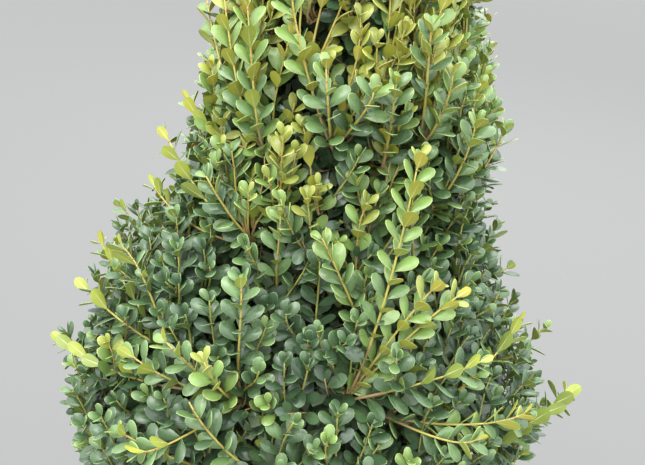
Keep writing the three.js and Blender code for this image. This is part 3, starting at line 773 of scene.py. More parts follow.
@dataclass(frozen=True)
class MulchBed:
    """The potting mix: a low mound that fills the tub, under a loose cover of bark chips."""

    pot: NurseryPot
    crown: float = 0.3755
    sag: float = 0.006
    floor_gap: float = 0.0003
    wall_gap: float = 0.0007
    edge_height: float = 0.37
    chips: int = 1900
    chip_length: Pair = (0.007, 0.021)
    chip_thickness: Pair = (0.0016, 0.0042)
    chip_shares: tuple[float, ...] = (0.34, 0.28, 0.18, 0.13, 0.07)

    def level(self, x: Array, y: Array) -> Array:
        """Height of the mound, highest round the trunk, lower at the wall, and uneven.

        Args:
            x: Metres to the right of the axis.
            y: Metres behind it.

        Returns:
            Crown height less sag times the share of the radius squared, plus a coarse and a fine ripple.
        """
        spot = np.stack([x, y, np.zeros_like(x)], axis=-1)
        out = np.hypot(x, y) / self.pot.mouth_radius
        uneven = 0.0012 * Ripple(5, 0.05).at(spot) + 0.0005 * Ripple(6, 0.014).at(spot)
        return self.crown - self.sag * out**2 + uneven

    def mound(self, gather: Gather) -> None:
        """The closed body of the mix: a fine disc on top, and walls just inside the tub's.

        Args:
            gather: Takes the mound.
        """
        azimuths = np.linspace(0, 2 * math.pi, 120, endpoint=False)
        rings = np.linspace(0, 1, 46)[1:, None]
        low = self.pot.floor + self.floor_gap
        inset = self.pot.wall + self.wall_gap
        flat = around(azimuths, (self.pot.taper(self.edge_height) - inset) * rings, 0.0)
        x, y = flat[..., 0], flat[..., 1]
        top = np.stack([x, y, self.level(x, y)], axis=-1)[::-1]
        foot = around(azimuths, self.pot.taper(low) - inset, low)
        points = np.concatenate([foot[None], top])
        middles = np.array([[0, 0, low], [0, 0, self.level(np.zeros(1), np.zeros(1))[0]]])
        gather.add(np.concatenate([points.reshape(-1, 3), middles]), capped(len(points), len(azimuths)))

    def scatter(self, gather: Gather) -> None:
        """Adds the chips: flat six-sided flakes, each cut unevenly, turned and tilted at random.

        Args:
            gather: Takes the chips.
        """
        draw = np.random.default_rng(31)
        out = 0.026 + (self.pot.mouth_radius - 0.036) * np.sqrt(draw.random(self.chips))
        azimuth = draw.uniform(0, 2 * math.pi, self.chips)
        x, y = out * np.cos(azimuth), out * np.sin(azimuth)
        length = draw.uniform(*self.chip_length, self.chips) * draw.uniform(0.7, 1.0, self.chips)
        width = length * draw.uniform(0.35, 0.65, self.chips)
        thick = draw.uniform(*self.chip_thickness, self.chips)
        height = self.level(x, y) + 0.35 * thick + draw.uniform(0, 0.0022, self.chips)
        centre = np.stack([x, y, height], axis=-1)
        tilt = draw.normal(0, 0.3, (2, self.chips))
        upward = unit(np.stack([*tilt, np.ones(self.chips)], axis=-1))
        heading = draw.uniform(0, 2 * math.pi, self.chips)
        along = square_to(around(heading, 1.0, 0.0), upward)
        aside = np.cross(upward, along)
        corners = np.radians(np.arange(6) * 60.0)
        uneven = draw.uniform(0.72, 1.15, (self.chips, 12))
        spread = np.tile(np.stack([np.cos(corners), np.sin(corners)], -1), (2, 1))
        lift = np.repeat([-0.5, 0.5], 6)
        points = (
            centre[:, None]
            + along[:, None] * (0.5 * length[:, None] * spread[:, 0] * uneven)[..., None]
            + aside[:, None] * (0.5 * width[:, None] * spread[:, 1] * uneven)[..., None]
            + upward[:, None] * (thick[:, None] * lift * draw.uniform(0.7, 1.2, (self.chips, 12)))[..., None]
        )
        fan = np.array([[0, 1, 2], [0, 2, 3], [0, 3, 4], [0, 4, 5]])
        one = np.concatenate([band(6), fan[:, ::-1], fan + 6])
        kinds = draw.choice(len(self.chip_shares), self.chips, p=self.chip_shares)
        gather.add(points, repeated(one, points), slot=np.repeat(kinds, len(one)), smooth=False)

    def build(self) -> list[Piece]:
        """Makes the mound and its chips."""
        mound = Gather()
        self.mound(mound)
        earth = EarthFinish("damp_mix", "1c1410", "3a2b20", 0.004).make()
        chips = Gather()
        self.scatter(chips)
        kinds = [
            EarthFinish("chip_umber", "241811", "3c2a1f"),
            EarthFinish("chip_brown", "3f2a1e", "61432f"),
            EarthFinish("chip_russet", "5e3727", "84563d"),
            EarthFinish("chip_tan", "7d6248", "a88b69"),
            EarthFinish("chip_pale", "9f8576", "c4ad9c"),
        ]
        return [
            mound.piece("mulch_bed", [earth], "bark_mulch", ["potting_mix"]),
            chips.piece("mulch_chips", [kind.make() for kind in kinds], "bark_mulch", ["potting_mix"]),
        ]


# Layout of the plant, by the same rule as its solids


@dataclass(frozen=True)
class Patch:
    """A place on the crown with an effect that fades round it: a lump, or where young shoots gather.

    Attributes:
        azimuth: Degrees round the crown's axis.
        height: Metres above the ground.
        spread_a: Degrees round to where the effect has fallen to 1 / e.
        spread_z: The same in metres, up and down.
        gain: The effect in the middle.
    """

    azimuth: float
    height: float
    spread_a: float
    spread_z: float
    gain: float

    def at(self, azimuth: Array, height: Array) -> Array:
        """The effect at places round the crown.

        Args:
            azimuth: Degrees round the crown's axis.
            height: Metres above the ground.

        Returns:
            Gain times exp(-(turn / spread_a)^2 - (rise / spread_z)^2).
        """
        turn = np.mod(azimuth - self.azimuth + 180, 360) - 180
        away = (turn / self.spread_a) ** 2 + ((height - self.height) / self.spread_z) ** 2
        return self.gain * np.exp(-away)


@dataclass(frozen=True)
class Outline:
    """The clipped outline of the crown: a half-width for each height about its own axis, and its lumps."""

    axis_x: float = 0.025
    heights: tuple[float, ...] = (
        0.394, 0.450, 0.580, 0.645, 0.700, 0.780, 0.860, 0.960, 1.050, 1.200, 1.345, 1.380
    )
    radii: tuple[float, ...] = (
        0.216, 0.238, 0.250, 0.266, 0.238, 0.200, 0.153, 0.147, 0.122, 0.077, 0.008, 0.003
    )
    lumps: tuple[Patch, ...] = (
        Patch(180, 0.765, 45, 0.038, 0.024),
        Patch(0, 0.770, 40, 0.040, -0.016),
        Patch(0, 0.950, 50, 0.060, 0.013),
        Patch(180, 0.955, 50, 0.055, -0.012),
        Patch(80, 0.700, 35, 0.050, 0.014),
        Patch(125, 0.880, 30, 0.045, 0.012),
    )

    def radius(self, azimuth: Array, height: Array) -> Array:
        """The crown's half-width: straight between the listed heights, plus every lump.

        Args:
            azimuth: Degrees round the crown's axis.
            height: Metres above the ground.

        Returns:
            Metres from the crown's axis.
        """
        azimuth, height = np.broadcast_arrays(azimuth, height)
        base = np.interp(height, self.heights, self.radii)
        for lump in self.lumps:
            base = base + lump.at(azimuth, height)
        return base

    def point(self, azimuth: Array, radius: Array, height: Array) -> Array:
        """The point at an azimuth in degrees, a radius from the crown's axis and a height."""
        return around(np.radians(azimuth), radius, height) + [self.axis_x, 0, 0]

    def depth(self, points: Array) -> Array:
        """How far points lie inside the outline, level with them."""
        return self.radius(self.azimuth(points), points[..., 2]) - self.out(points)

    def out(self, points: Array) -> Array:
        """How far points lie from the crown's axis."""
        return np.hypot(points[..., 0] - self.axis_x, points[..., 1])

    def azimuth(self, points: Array) -> Array:
        """Degrees round the crown's axis."""
        return np.degrees(np.arctan2(points[..., 1], points[..., 0] - self.axis_x))


@dataclass(frozen=True)
class Tier:
    """A ring of the crown shared by masses that keep to their own sector, and the limbs that carry them.

    Attributes:
        name: The tier's name.
        low: Its lowest height.
        high: Its greatest height.
        masses: How many masses share it.
        turn: Azimuth of the first mass, in degrees.
        hollow: The open inside, as a share of the outline.
        tip_share: Where on a mass's height its bough arrives.
        rise: How far a bough climbs.
        stagger: How unevenly boughs leave the trunk.
        radius: A bough's radius at its foot.
        tip_radius: A bough's radius at its tip.
        standoff: How deep the leaves reach in from the outline.
        rows: Rows of leading twigs in a mass.
        columns: Leading twigs in a row.
    """

    name: str
    low: float
    high: float
    masses: int
    turn: float
    hollow: float
    tip_share: float
    rise: float
    stagger: float
    radius: float
    tip_radius: float
    standoff: float
    rows: int
    columns: int


TIERS = (
    Tier("skirt", 0.402, 0.590, 6, 30, 0.42, 0.42, 0.062, 0.011, 0.0064, 0.0042, 0.044, 3, 4),
    Tier("lower", 0.592, 0.800, 5, 62, 0.42, 0.36, 0.105, 0.013, 0.0060, 0.0038, 0.044, 3, 5),
    Tier("upper", 0.802, 1.018, 4, 8, 0.40, 0.34, 0.110, 0.014, 0.0050, 0.0032, 0.044, 4, 4),
    Tier("top", 1.020, 1.182, 3, 50, 0.34, 0.34, 0.062, 0.010, 0.0038, 0.0027, 0.035, 3, 4),
)


@dataclass
class Mass:
    """One mass of foliage: its tier, sector and name, and the stem that goes on from its limb's tip."""

    tier: Tier
    label: str
    azimuth: float
    half_angle: float
    bough: Array | None = None
    stem: Array | None = None


@dataclass(frozen=True)
class TrunkShape:
    """The trunk from its flat cut at the mulch to its fork: lean, bow, taper and root flare."""

    foot: float = 0.3783
    fork: float = 0.994
    foot_radius: float = 0.017
    fork_radius: float = 0.007
    flare: float = 0.011
    flare_fade: float = 0.022
    flare_lobes: int = 5
    lean_x: float = -0.009
    lean_y: float = 0.004
    bow: float = 0.007

    def centre(self, height: Array | float) -> Array:
        """The middle of the trunk: a straight lean with one bow, a half wave of a sine.

        Args:
            height: Metres above the ground.

        Returns:
            One point a height.
        """
        share = (np.asarray(height, float) - self.foot) / (self.fork - self.foot)
        bow = self.bow * np.sin(math.pi * share)
        return np.stack([self.lean_x * share + bow, self.lean_y * share - 0.5 * bow, height], axis=-1)

    def radius(self, height: Array, azimuth: Array) -> Array:
        """The trunk's radius: a straight taper, plus root lobes that fade out above the foot.

        Args:
            height: Metres above the ground.
            azimuth: Radians round the trunk.

        Returns:
            The taper plus flare (0.6 + 0.4 cos(lobes times azimuth)) exp(-rise / flare_fade).
        """
        share = np.clip((height - self.foot) / (self.fork - self.foot), 0, 1)
        lobe = 0.6 + 0.4 * np.cos(self.flare_lobes * azimuth)
        flare = self.flare * lobe * np.exp(-(height - self.foot) / self.flare_fade)
        return lerp(self.foot_radius, self.fork_radius, share) + flare


class PlantPlan:
    """Where every limb and mass of the plant lies."""

    ARCH = 0.22
    SHORT = 0.004
    LEADER_RADII = (0.0048, 0.0032)
    LEADER_BOW = 0.012
    LEADER_STEPS = 8
    TIP_LOW = 1.184
    TIP_HIGH = 1.384
    STEM_DEPTH = 0.62
    STEM_SHARE = 0.55

    def __init__(self) -> None:
        """Lays out the masses, then the leaders, boughs and stems that carry them."""
        self.outline = Outline()
        self.trunk = TrunkShape()
        self.masses = [
            Mass(tier, f"{tier.name}_{index + 1}", tier.turn + 360 / tier.masses * index, 180 / tier.masses)
            for tier in TIERS
            for index in range(tier.masses)
        ]
        top = self.masses_of(TIERS[-1])
        left = next(mass for mass in top if math.cos(math.radians(mass.azimuth)) < -0.5)
        fork = self.trunk.centre(self.trunk.fork - 0.004)
        self.leader_tip = self.outline.point(0.0, 0.0, self.TIP_LOW - 0.008)
        self.leader_right = self.leader(fork, self.leader_tip, 1)
        self.leader_left = self.leader(fork, self.bough_tip(left), -1)
        for index, mass in enumerate(self.masses):
            tip = self.bough_tip(mass)
            mass.stem = np.stack([tip, self.stem_end(mass)])
            if mass is left:
                continue
            foot = self.trunk.centre(tip[2] - mass.tier.rise + mass.tier.stagger * (index % 3 - 1))
            if mass.tier.name == "top":
                foot = self.leader_right[2 if mass is top[0] else 4]
            mass.bough = self.arched(foot, tip, 6)

    def masses_of(self, tier: Tier) -> list[Mass]:
        """The masses that share a tier."""
        return [mass for mass in self.masses if mass.tier is tier]

    def leader(self, start: Array, end: Array, side: int) -> Array:
        """A leader's line, bowed to one side."""
        middle = 0.5 * (start + end) + [side * self.LEADER_BOW, 0, 0]
        return arc_line(start, middle, end, self.LEADER_STEPS)

    def arched(self, start: Array, end: Array, steps: int) -> Array:
        """A bough's line, which bends up from the trunk towards its tip."""
        middle = 0.5 * (start + end) - [0, 0, self.ARCH * np.linalg.norm(end - start)]
        return arc_line(start, middle, end, steps)

    def bough_tip(self, mass: Mass) -> Array:
        """Where a mass's limb ends: just inside the hollow of the crown.

        Args:
            mass: The mass.

        Returns:
            One point.
        """
        height = lerp(mass.tier.low, mass.tier.high, mass.tier.tip_share)
        radius = mass.tier.hollow * self.outline.radius(mass.azimuth, height) - self.SHORT
        return self.outline.point(mass.azimuth, radius, height)

    def stem_end(self, mass: Mass) -> Array:
        """Where a mass's stem ends, in the depth of its leaves.

        Args:
            mass: The mass.

        Returns:
            One point.
        """
        tier = mass.tier
        height = lerp(tier.low, tier.high, self.STEM_SHARE)
        radius = self.outline.radius(mass.azimuth, height)
        depth = lerp(tier.hollow * radius, radius - tier.standoff, self.STEM_DEPTH)
        return self.outline.point(mass.azimuth, depth, height)


# Limbs


@dataclass(frozen=True)
class Relief:
    """Furrows and knots of bark, cut into a limb's radius.

    Attributes:
        seed: Picks the furrows.
        width: Metres between furrows round the limb.
        run: How much longer a furrow runs up than across.
        depth: How deep the furrows are.
    """

    seed: int
    width: float
    run: float
    depth: float

    def cut(self, angles: Array, lengths: Array, radii: Array) -> tuple[Array, Array]:
        """Works out the relief over a limb's skin.

        Where a slow ripple crosses zero there is a furrow, so furrows wander, fork and end. A wider
        ripple swells the plates between them.

        Args:
            angles: Round the limb, in radians.
            lengths: Along the limb, in metres.
            radii: The smooth radius.

        Returns:
            The radius with its relief, and 1 in the furrows down to 0 on the plates.
        """
        skin = np.stack([radii * np.cos(angles), radii * np.sin(angles), lengths / self.run], axis=-1)
        lines = Ripple(self.seed, 3.2 * self.width).at(skin)
        breaks = Ripple(self.seed + 1, 2.2 * self.width).at(skin * [1, 1, 1.6 * self.run / 2])
        furrow = np.maximum(bell(lines, 0.24), 0.7 * bell(breaks, 0.12))
        swell = Ripple(self.seed + 2, 6 * self.width).at(skin * [1, 1, self.run / 3])
        return radii - self.depth * furrow + 0.45 * self.depth * swell, furrow


class Limbs:
    """Trunk, leaders and boughs with the relief of their bark."""

    COLLAR = 0.0035
    STATIONS = 38
    SIDES = 12

    def __init__(self, plan: PlantPlan) -> None:
        """Makes the two barks.

        Args:
            plan: Where the limbs lie.
        """
        self.plan = plan
        self.old_bark = BarkFinish("trunk_bark", "8d7c66", "b3a58d", "4d3f33").make()
        self.young_bark = BarkFinish("bough_bark", "b0906a", "cdb28a", "8a6b4c", "9a9565").make()

    def trunk(self) -> Piece:
        """The trunk: level rings from the cut to the fork, swollen where boughs leave it."""
        shape = self.plan.trunk
        flared = shape.foot + np.linspace(0, 0.05, 30, endpoint=False)
        levels = np.concatenate([flared, np.linspace(shape.foot + 0.05, shape.fork, 160)])
        azimuths = np.linspace(0, 2 * math.pi, 48, endpoint=False)
        height, azimuth = np.meshgrid(levels, azimuths, indexing="ij")
        radii = shape.radius(height, azimuth)
        for mass in self.plan.masses:
            if mass.bough is None or mass.tier.name == "top":
                continue
            foot, ahead = mass.bough[0], mass.bough[1] - mass.bough[0]
            turn = np.mod(azimuth - math.atan2(ahead[1], ahead[0]) + math.pi, 2 * math.pi) - math.pi
            radii = radii + self.COLLAR * bell(height - foot[2] - 0.002, 0.012) * bell(turn, 0.8)
        cut, furrow = Relief(41, 0.0042, 5.0, 0.0011).cut(azimuth, height, radii)
        points = self.plan.trunk.centre(height)
        points[..., 0] += cut * np.cos(azimuth)
        points[..., 1] += cut * np.sin(azimuth)
        gather = Gather()
        skin = np.concatenate([points.reshape(-1, 3), shape.centre(np.array([levels[0], levels[-1]]))])
        gather.add(skin, capped(len(levels), len(azimuths)), marks=np.append(furrow.ravel(), [0, 0]))
        return gather.piece("trunk_bark", [self.old_bark], "bark", ["trunk"])

    def limb(self, gather: Gather, line: Array, radius: float, tip_radius: float, seed: int) -> None:
        """Adds one limb with a collar at its foot and fine furrows.

        Args:
            gather: Takes the limb.
            line: Its few points.
            radius: At its foot.
            tip_radius: At its tip.
            seed: Picks its furrows and bends.
        """
        smooth = resampled(line, self.STATIONS)
        run = np.concatenate([[0], np.cumsum(np.linalg.norm(np.diff(smooth, axis=0), axis=1))])
        share = run / run[-1]
        bend = Ripple(seed + 7, 0.07)
        sway = np.stack([bend.at(smooth + shift) for shift in (0.0, 0.31, 0.77)], axis=-1)
        smooth = smooth + 0.0016 * sway * (np.sin(math.pi * share) ** 0.5)[:, None]
        plain = lerp(radius, tip_radius, share) * (1 + 0.55 * np.exp(-run / 0.012))
        knots = 1 + 0.07 * Ripple(seed + 3, 0.03).at(smooth)
        angles = np.linspace(0, 2 * math.pi, self.SIDES, endpoint=False)
        azimuth, along = np.meshgrid(angles, run, indexing="xy")
        radii = (plain * knots)[:, None] * np.ones(self.SIDES)
        cut, furrow = Relief(seed, 0.003, 5.0, 0.00042).cut(azimuth, along, radii)
        points, faces, _ = tubes(smooth[None], cut[None], self.SIDES)
        gather.add(points, faces, marks=np.append(furrow.ravel(), [0, 0]))

    def build(self) -> list[Piece]:
        """Makes the trunk and each leader as pieces of their own, and all boughs as one piece."""
        pieces = [self.trunk()]
        wide, thin = self.plan.LEADER_RADII
        for name, line, seed in (("right", self.plan.leader_right, 51), ("left", self.plan.leader_left, 61)):
            gather = Gather()
            self.limb(gather, line, wide, thin, seed)
            pieces.append(gather.piece(f"leader_{name}_bark", [self.young_bark], "bark", [f"leader_{name}"]))
        gather = Gather()
        nodes = []
        for index, mass in enumerate(self.plan.masses):
            if mass.bough is not None:
                self.limb(gather, mass.bough, mass.tier.radius, mass.tier.tip_radius, 70 + 11 * index)
                nodes.append(f"bough_{mass.label}")
        pieces.append(gather.piece("boughs_bark", [self.young_bark], "bark", nodes))
        return pieces


# Shoots and leaves


@dataclass
class Batch:
    """Many things of one kind at once: every field is an array with one row for each of them."""

    def kept(self, keep: Array) -> Self:
        """Only the rows that are flagged or numbered."""
        return type(self)(*(getattr(self, field.name)[keep] for field in fields(self)))

    @classmethod
    def joined(cls, sets: list[Self]) -> Self:
        """Several sets as one."""
        return cls(*(np.concatenate([getattr(one, field.name) for one in sets]) for field in fields(cls)))


@dataclass
class Shoots(Batch):
    """Many twigs at once, each a cubic from its root to its tip with a direction at either end.

    Attributes:
        root: Where each starts.
        leaving: The way it starts, as long as the cubic asks.
        tip: Where it ends.
        arriving: The way it ends.
        youth: How young its leaves are, about -1 for old ones to 1 for the newest.
    """

    root: Array
    leaving: Array
    tip: Array
    arriving: Array
    youth: Array

    def at(self, shares: Array) -> Array:
        """Points at shares (twigs, stations) of each twig's length, along its cubic."""
        return cubic(shares[..., None], *self.ends())

    def heading(self, shares: Array) -> Array:
        """The way that twigs point along their length: the slope of their cubic.

        Args:
            shares: Shares (twigs, stations) of each twig's length.

        Returns:
            Unit directions (twigs, stations, 3).
        """
        t = shares[..., None]
        root, leaving, tip, arriving = self.ends()
        slope = (6 * t**2 - 6 * t) * (root - tip) + (3 * t**2 - 4 * t + 1) * leaving
        return unit(slope + (3 * t**2 - 2 * t) * arriving)

    def ends(self) -> list[Array]:
        """Root, leaving, tip and arriving, each with an axis for stations."""
        return [part[:, None] for part in (self.root, self.leaving, self.tip, self.arriving)]

    def length(self) -> Array:
        """Each twig's length, measured along seven points."""
        points = self.at(np.broadcast_to(np.linspace(0, 1, 7), (len(self.root), 7)))
        return np.linalg.norm(np.diff(points, axis=1), axis=-1).sum(-1)


class Detail(Enum):
    """How much of a leaf's form its mesh shows."""

    FULL = 0
    PLAIN = 1
    DEEP = 2


@dataclass
class Leaves(Batch):
    """Many leaves at once.

    Attributes:
        root: Where each joins its shoot.
        along: The way it points.
        facing: The way its upper side faces.
        length: Metres from root to tip.
        width: Metres across.
        fold: How far its edges rise above the midrib, as a share of the half-width.
        curl: How far its tip drops, as a share of the length.
        age: The index of its Age.
        detail: The value of its Detail.
    """

    root: Array
    along: Array
    facing: Array
    length: Array
    width: Array
    fold: Array
    curl: Array
    age: Array
    detail: Array

    def middle(self) -> Array:
        """The middle of each leaf, just past half its length."""
        return self.root + 0.52 * self.along * self.length[:, None]


def near_pairs(points: Array, reach: float) -> Array:
    """Finds the points that lie close together.

    Args:
        points: One point a row.
        reach: How far apart two of them may be.

    Returns:
        Two columns: the numbers of the points of each pair, the lower one first.
    """
    tree = KDTree(len(points))
    for number, point in enumerate(points):
        tree.insert(point, number)
    tree.balance()
    found = [
        (number, other)
        for number, point in enumerate(points)
        for _, other, _ in tree.find_range(point, reach)
        if other > number
    ]
    return np.array(found, int).reshape(-1, 2).T


def pierced(leaves: Leaves, others: Leaves) -> Array:
    """Flags each of the others that its leaf runs through, lengthwise or across.

    Both count as flat ovals, 0.84 of their length and width, and a segment meets the plane of an oval where
    its ends' heights over it have opposite signs.

    Args:
        leaves: One leaf a row.
        others: The leaf to test against each.

    Returns:
        One flag a row.
    """
    ovals = []
    for one in (leaves, others):
        ways = np.stack([one.along, np.cross(one.along, one.facing)], axis=1)
        sizes = 0.42 * np.stack([one.length, one.width], axis=1)
        ovals.append((one.middle(), ways, sizes))
    (middle, ways, sizes), (centre, flat, breadth) = ovals
    reach = ways * sizes[..., None]
    from_centre = (middle - centre)[:, None]
    start, end = from_centre - reach, from_centre + reach
    low = np.sum(start * others.facing[:, None], axis=-1)
    high = np.sum(end * others.facing[:, None], axis=-1)
    share = low / np.where(low == high, 1.0, low - high)
    hit = start + share[..., None] * (end - start)
    place = np.einsum("nsk,nok->nso", hit, flat) / breadth[:, None]
    return np.any((low * high < 0) & (np.sum(place**2, axis=-1) < 1), axis=1)


@dataclass(frozen=True)
class LeafShape:
    """A boxwood leaf: spoon-shaped, blunt at the tip, narrowed to its root.

    An outline lists shares of the length and of the widest half-width, from the root up one side.

    Attributes:
        full: The outline near the crown's surface.
        plain: The outline a little deeper.
        deep: The outline far inside.
        rim: Width and height of the pale edge, in metres; its paler colour is mostly a painted highlight.
        rib: Half-width of the midrib below, and how far it stands out, in metres.
        rib_share: Where along the leaf the midrib is widest.
    """

    full: Side = ((0, 0), (0.15, 0.30), (0.36, 0.75), (0.58, 0.98), (0.78, 0.94), (0.94, 0.56), (1, 0))
    plain: Side = ((0, 0), (0.18, 0.38), (0.42, 0.84), (0.66, 1), (0.88, 0.78), (1, 0.26))
    deep: Side = ((0, 0), (0.42, 0.86), (0.90, 0.70))
    rim: Pair = (0.00026, 0.00040)
    rib: Pair = (0.00060, 0.00035)
    rib_share: float = 0.26

    @staticmethod
    def loop(side: Side) -> tuple[Array, Array]:
        """The whole outline: up the right side and back down the left.

        Args:
            side: The outline up one side. A last corner off the midrib makes the tip blunt.

        Returns:
            Shares of the half-width, and of the length.
        """
        up, right = np.array(side, float).T
        back = slice(None, 0, -1) if right[-1] > 0 else slice(-2, 0, -1)
        return np.concatenate([right, -right[back]]), np.concatenate([up, up[back]])

    @staticmethod
    def placed(leaves: Leaves, across: Array, along: Array, lift: Array) -> Array:
        """Corners of every leaf.

        A corner's height over its leaf's plane is fold times its distance from the midrib, less curl
        times the length times the square of its share of the length, plus lift.

        Args:
            leaves: The leaves.
            across: Metres from the midrib (leaves, corners).
            along: Metres from the root.
            lift: Metres added to the height.

        Returns:
            Points (leaves, corners, 3).
        """
        aside = np.cross(leaves.along, leaves.facing)
        drop = leaves.curl[:, None] * along**2 / leaves.length[:, None]
        height = leaves.fold[:, None] * np.abs(across) - drop + lift
        return (
            leaves.root[:, None]
            + aside[:, None] * across[..., None]
            + leaves.along[:, None] * along[..., None]
            + leaves.facing[:, None] * height[..., None]
        )

    def bordered(self, leaves: Leaves) -> tuple[Array, Array, Array]:
        """Leaves with both sides folded along the middle, a pale rim between them and a midrib below; the
        rim's paler colour is mostly a painted highlight.

        Args:
            leaves: The leaves.

        Returns:
            Corners, triangles, and each triangle's slot: 0 above, 1 below, 2 rim, 3 midrib.
        """
        x, y = self.loop(self.full)
        corners = len(x)
        half, length = 0.5 * leaves.width[:, None], leaves.length[:, None]
        rim, thick = self.rim
        inner_x = np.sign(x) * np.maximum(np.abs(x) * half - rim, 0.2 * np.abs(x) * half)
        inner_y = 0.5 + (y - 0.5) * (1 - 2 * rim * (y > 0.1) / length)
        rib, proud = self.rib
        ones = np.ones((len(leaves.length), 1))
        across = np.hstack([x * half, inner_x, 0 * ones, rib * ones, -rib * ones])
        along = np.hstack([y * length, inner_y * length, 0.5 * length, self.rib_share * length * np.ones(2)])
        lift = np.concatenate([np.zeros(corners), np.full(corners, thick), [0.6 * thick], [-proud] * 2])
        points = self.placed(leaves, across, along, lift * ones)
        first = np.arange(corners)
        after = np.roll(first, -1)
        middle = corners // 2
        hub = 2 * corners
        upper = np.stack([np.full(corners, hub), first + corners, after + corners], -1)
        right, left = first[:middle], first[middle:]
        under = [
            np.stack([np.full(middle, hub + 1), right + 1, right], -1),
            np.stack([np.full(corners - middle, hub + 2), after[middle:], left], -1),
        ]
        ribs = np.array([[0, hub + 2, hub + 1], [hub + 1, hub + 2, middle]])
        one = np.concatenate([upper, *under, band(corners), ribs])
        # Slot 2, the rim, takes the edge colour, which is mostly a painted highlight.
        slots = np.repeat([0, 1, 2, 3], [corners, corners, 2 * corners, 2])
        return points, repeated(one, points), np.tile(slots, len(points))

    def lens(self, leaves: Leaves, side: Side) -> tuple[Array, Array, Array]:
        """Leaves deeper in the crown: two thin faces on one outline, with a ridge above.

        Args:
            leaves: The leaves.
            side: The outline up one side.

        Returns:
            Corners, triangles, and each triangle's slot.
        """
        x, y = self.loop(side)
        corners = len(x)
        ones = np.ones((len(leaves.length), 1))
        across = np.hstack([x * 0.5 * leaves.width[:, None], 0 * ones])
        along = np.hstack([y * leaves.length[:, None], 0.55 * leaves.length[:, None]])
        points = self.placed(leaves, across, along, np.append(np.zeros(corners), 0.0003) * ones)
        first = np.arange(corners)
        upper = np.stack([np.full(corners, corners), first, np.roll(first, -1)], -1)
        under = np.stack([np.zeros(corners - 2, int), first[2:], first[1:-1]], -1)
        one = np.concatenate([upper, under])
        slots = np.repeat([0, 1], [corners, corners - 2])
        return points, repeated(one, points), np.tile(slots, len(points))

    def formed(self, leaves: Leaves, detail: Detail) -> tuple[Array, Array, Array]:
        """Leaves in the given detail: corners, triangles and slots."""
        sides = {Detail.PLAIN: self.plain, Detail.DEEP: self.deep}
        return self.lens(leaves, sides[detail]) if detail in sides else self.bordered(leaves)


@dataclass(frozen=True)
class SeenHollow:
    """A dark gap between shoots: its middle and half-width in the frame's pixels, and its depth in metres."""

    x: float
    y: float
    size: float
    depth: float = 0.055


@dataclass(frozen=True)
class SeenSprig:
    """A long shoot that stands out: where it leaves the leaves and ends, in the frame's pixels.

    Attributes:
        foot: Where it comes out of the crown.
        tip: Where it ends.
        youth: How young its leaves are.
        proud: How far its tip stands off the crown, in metres.
    """

    foot: Pair
    tip: Pair
    youth: float = 0.75
    proud: float = 0.012


SEEN_HOLLOWS = tuple(
    SeenHollow(*row)
    for row in (
        (313, 26, 22, 0.085),
        (341, 66, 12),
        (284, 96, 15),
        (327, 217, 13),
        (277, 286, 17),
        (247, 226, 13),
        (326, 391, 16),
        (242, 405, 12),
        (252, 456, 22),
        (410, 437, 20),
        (183, 392, 12),
        (352, 262, 11),
        (436, 300, 9),
        (290, 190, 9),
    )
)

SEEN_SPRIGS = tuple(
    SeenSprig(*row)
    for row in (
        ((386, 332), (419, 158), 1.05, 0.016),
        ((364, 325), (322, 238), 0.95, 0.016),
        ((384, 336), (436, 286), 1.15, 0.018),
        ((392, 340), (457, 297), 1.05, 0.018),
        ((246, 362), (241, 282), 0.45),
        ((226, 418), (204, 362), 1.10, 0.016),
        ((216, 462), (189, 402), 0.62),
        ((133, 302), (101, 243), 0.62, 0.004),
        ((168, 286), (122, 246), 0.45),
        ((140, 352), (84, 286), 0.48, 0.004),
        ((120, 398), (62, 340), 0.52, 0.004),
        ((178, 404), (128, 352), 0.50),
        ((210, 392), (166, 342), 0.55),
        ((168, 462), (120, 432), 0.40),
        ((182, 458), (140, 452), 0.70),
        ((452, 448), (524, 414), 1.05, 0.012),
        ((484, 384), (519, 322), 0.62, 0.004),
        ((412, 398), (480, 362), 0.40),
        ((440, 462), (476, 440), 0.60),
        ((530, 420), (568, 392), 0.50, 0.004),
        ((240, 150), (224, -6), 1.00, 0.008),
        ((262, 168), (246, -10), 1.05, 0.012),
        ((218, 98), (206, -8), 0.95, 0.004),
        ((299, 90), (291, -12), 0.95, 0.012),
        ((206, 166), (190, 100), 0.65, 0.004),
        ((200, 214), (166, 134), 0.60, 0.004),
        ((236, 232), (206, 176), 0.50),
        ((190, 250), (154, 186), 0.50, 0.004),
        ((330, 150), (326, 68), 0.62),
        ((368, 128), (374, 92), 0.55),
        ((392, 122), (396, 84), 0.55),
        ((450, 130), (453, 74), 0.80),
        ((424, 76), (432, 26), 0.60),
        ((468, 180), (476, 122), 0.62),
    )
)


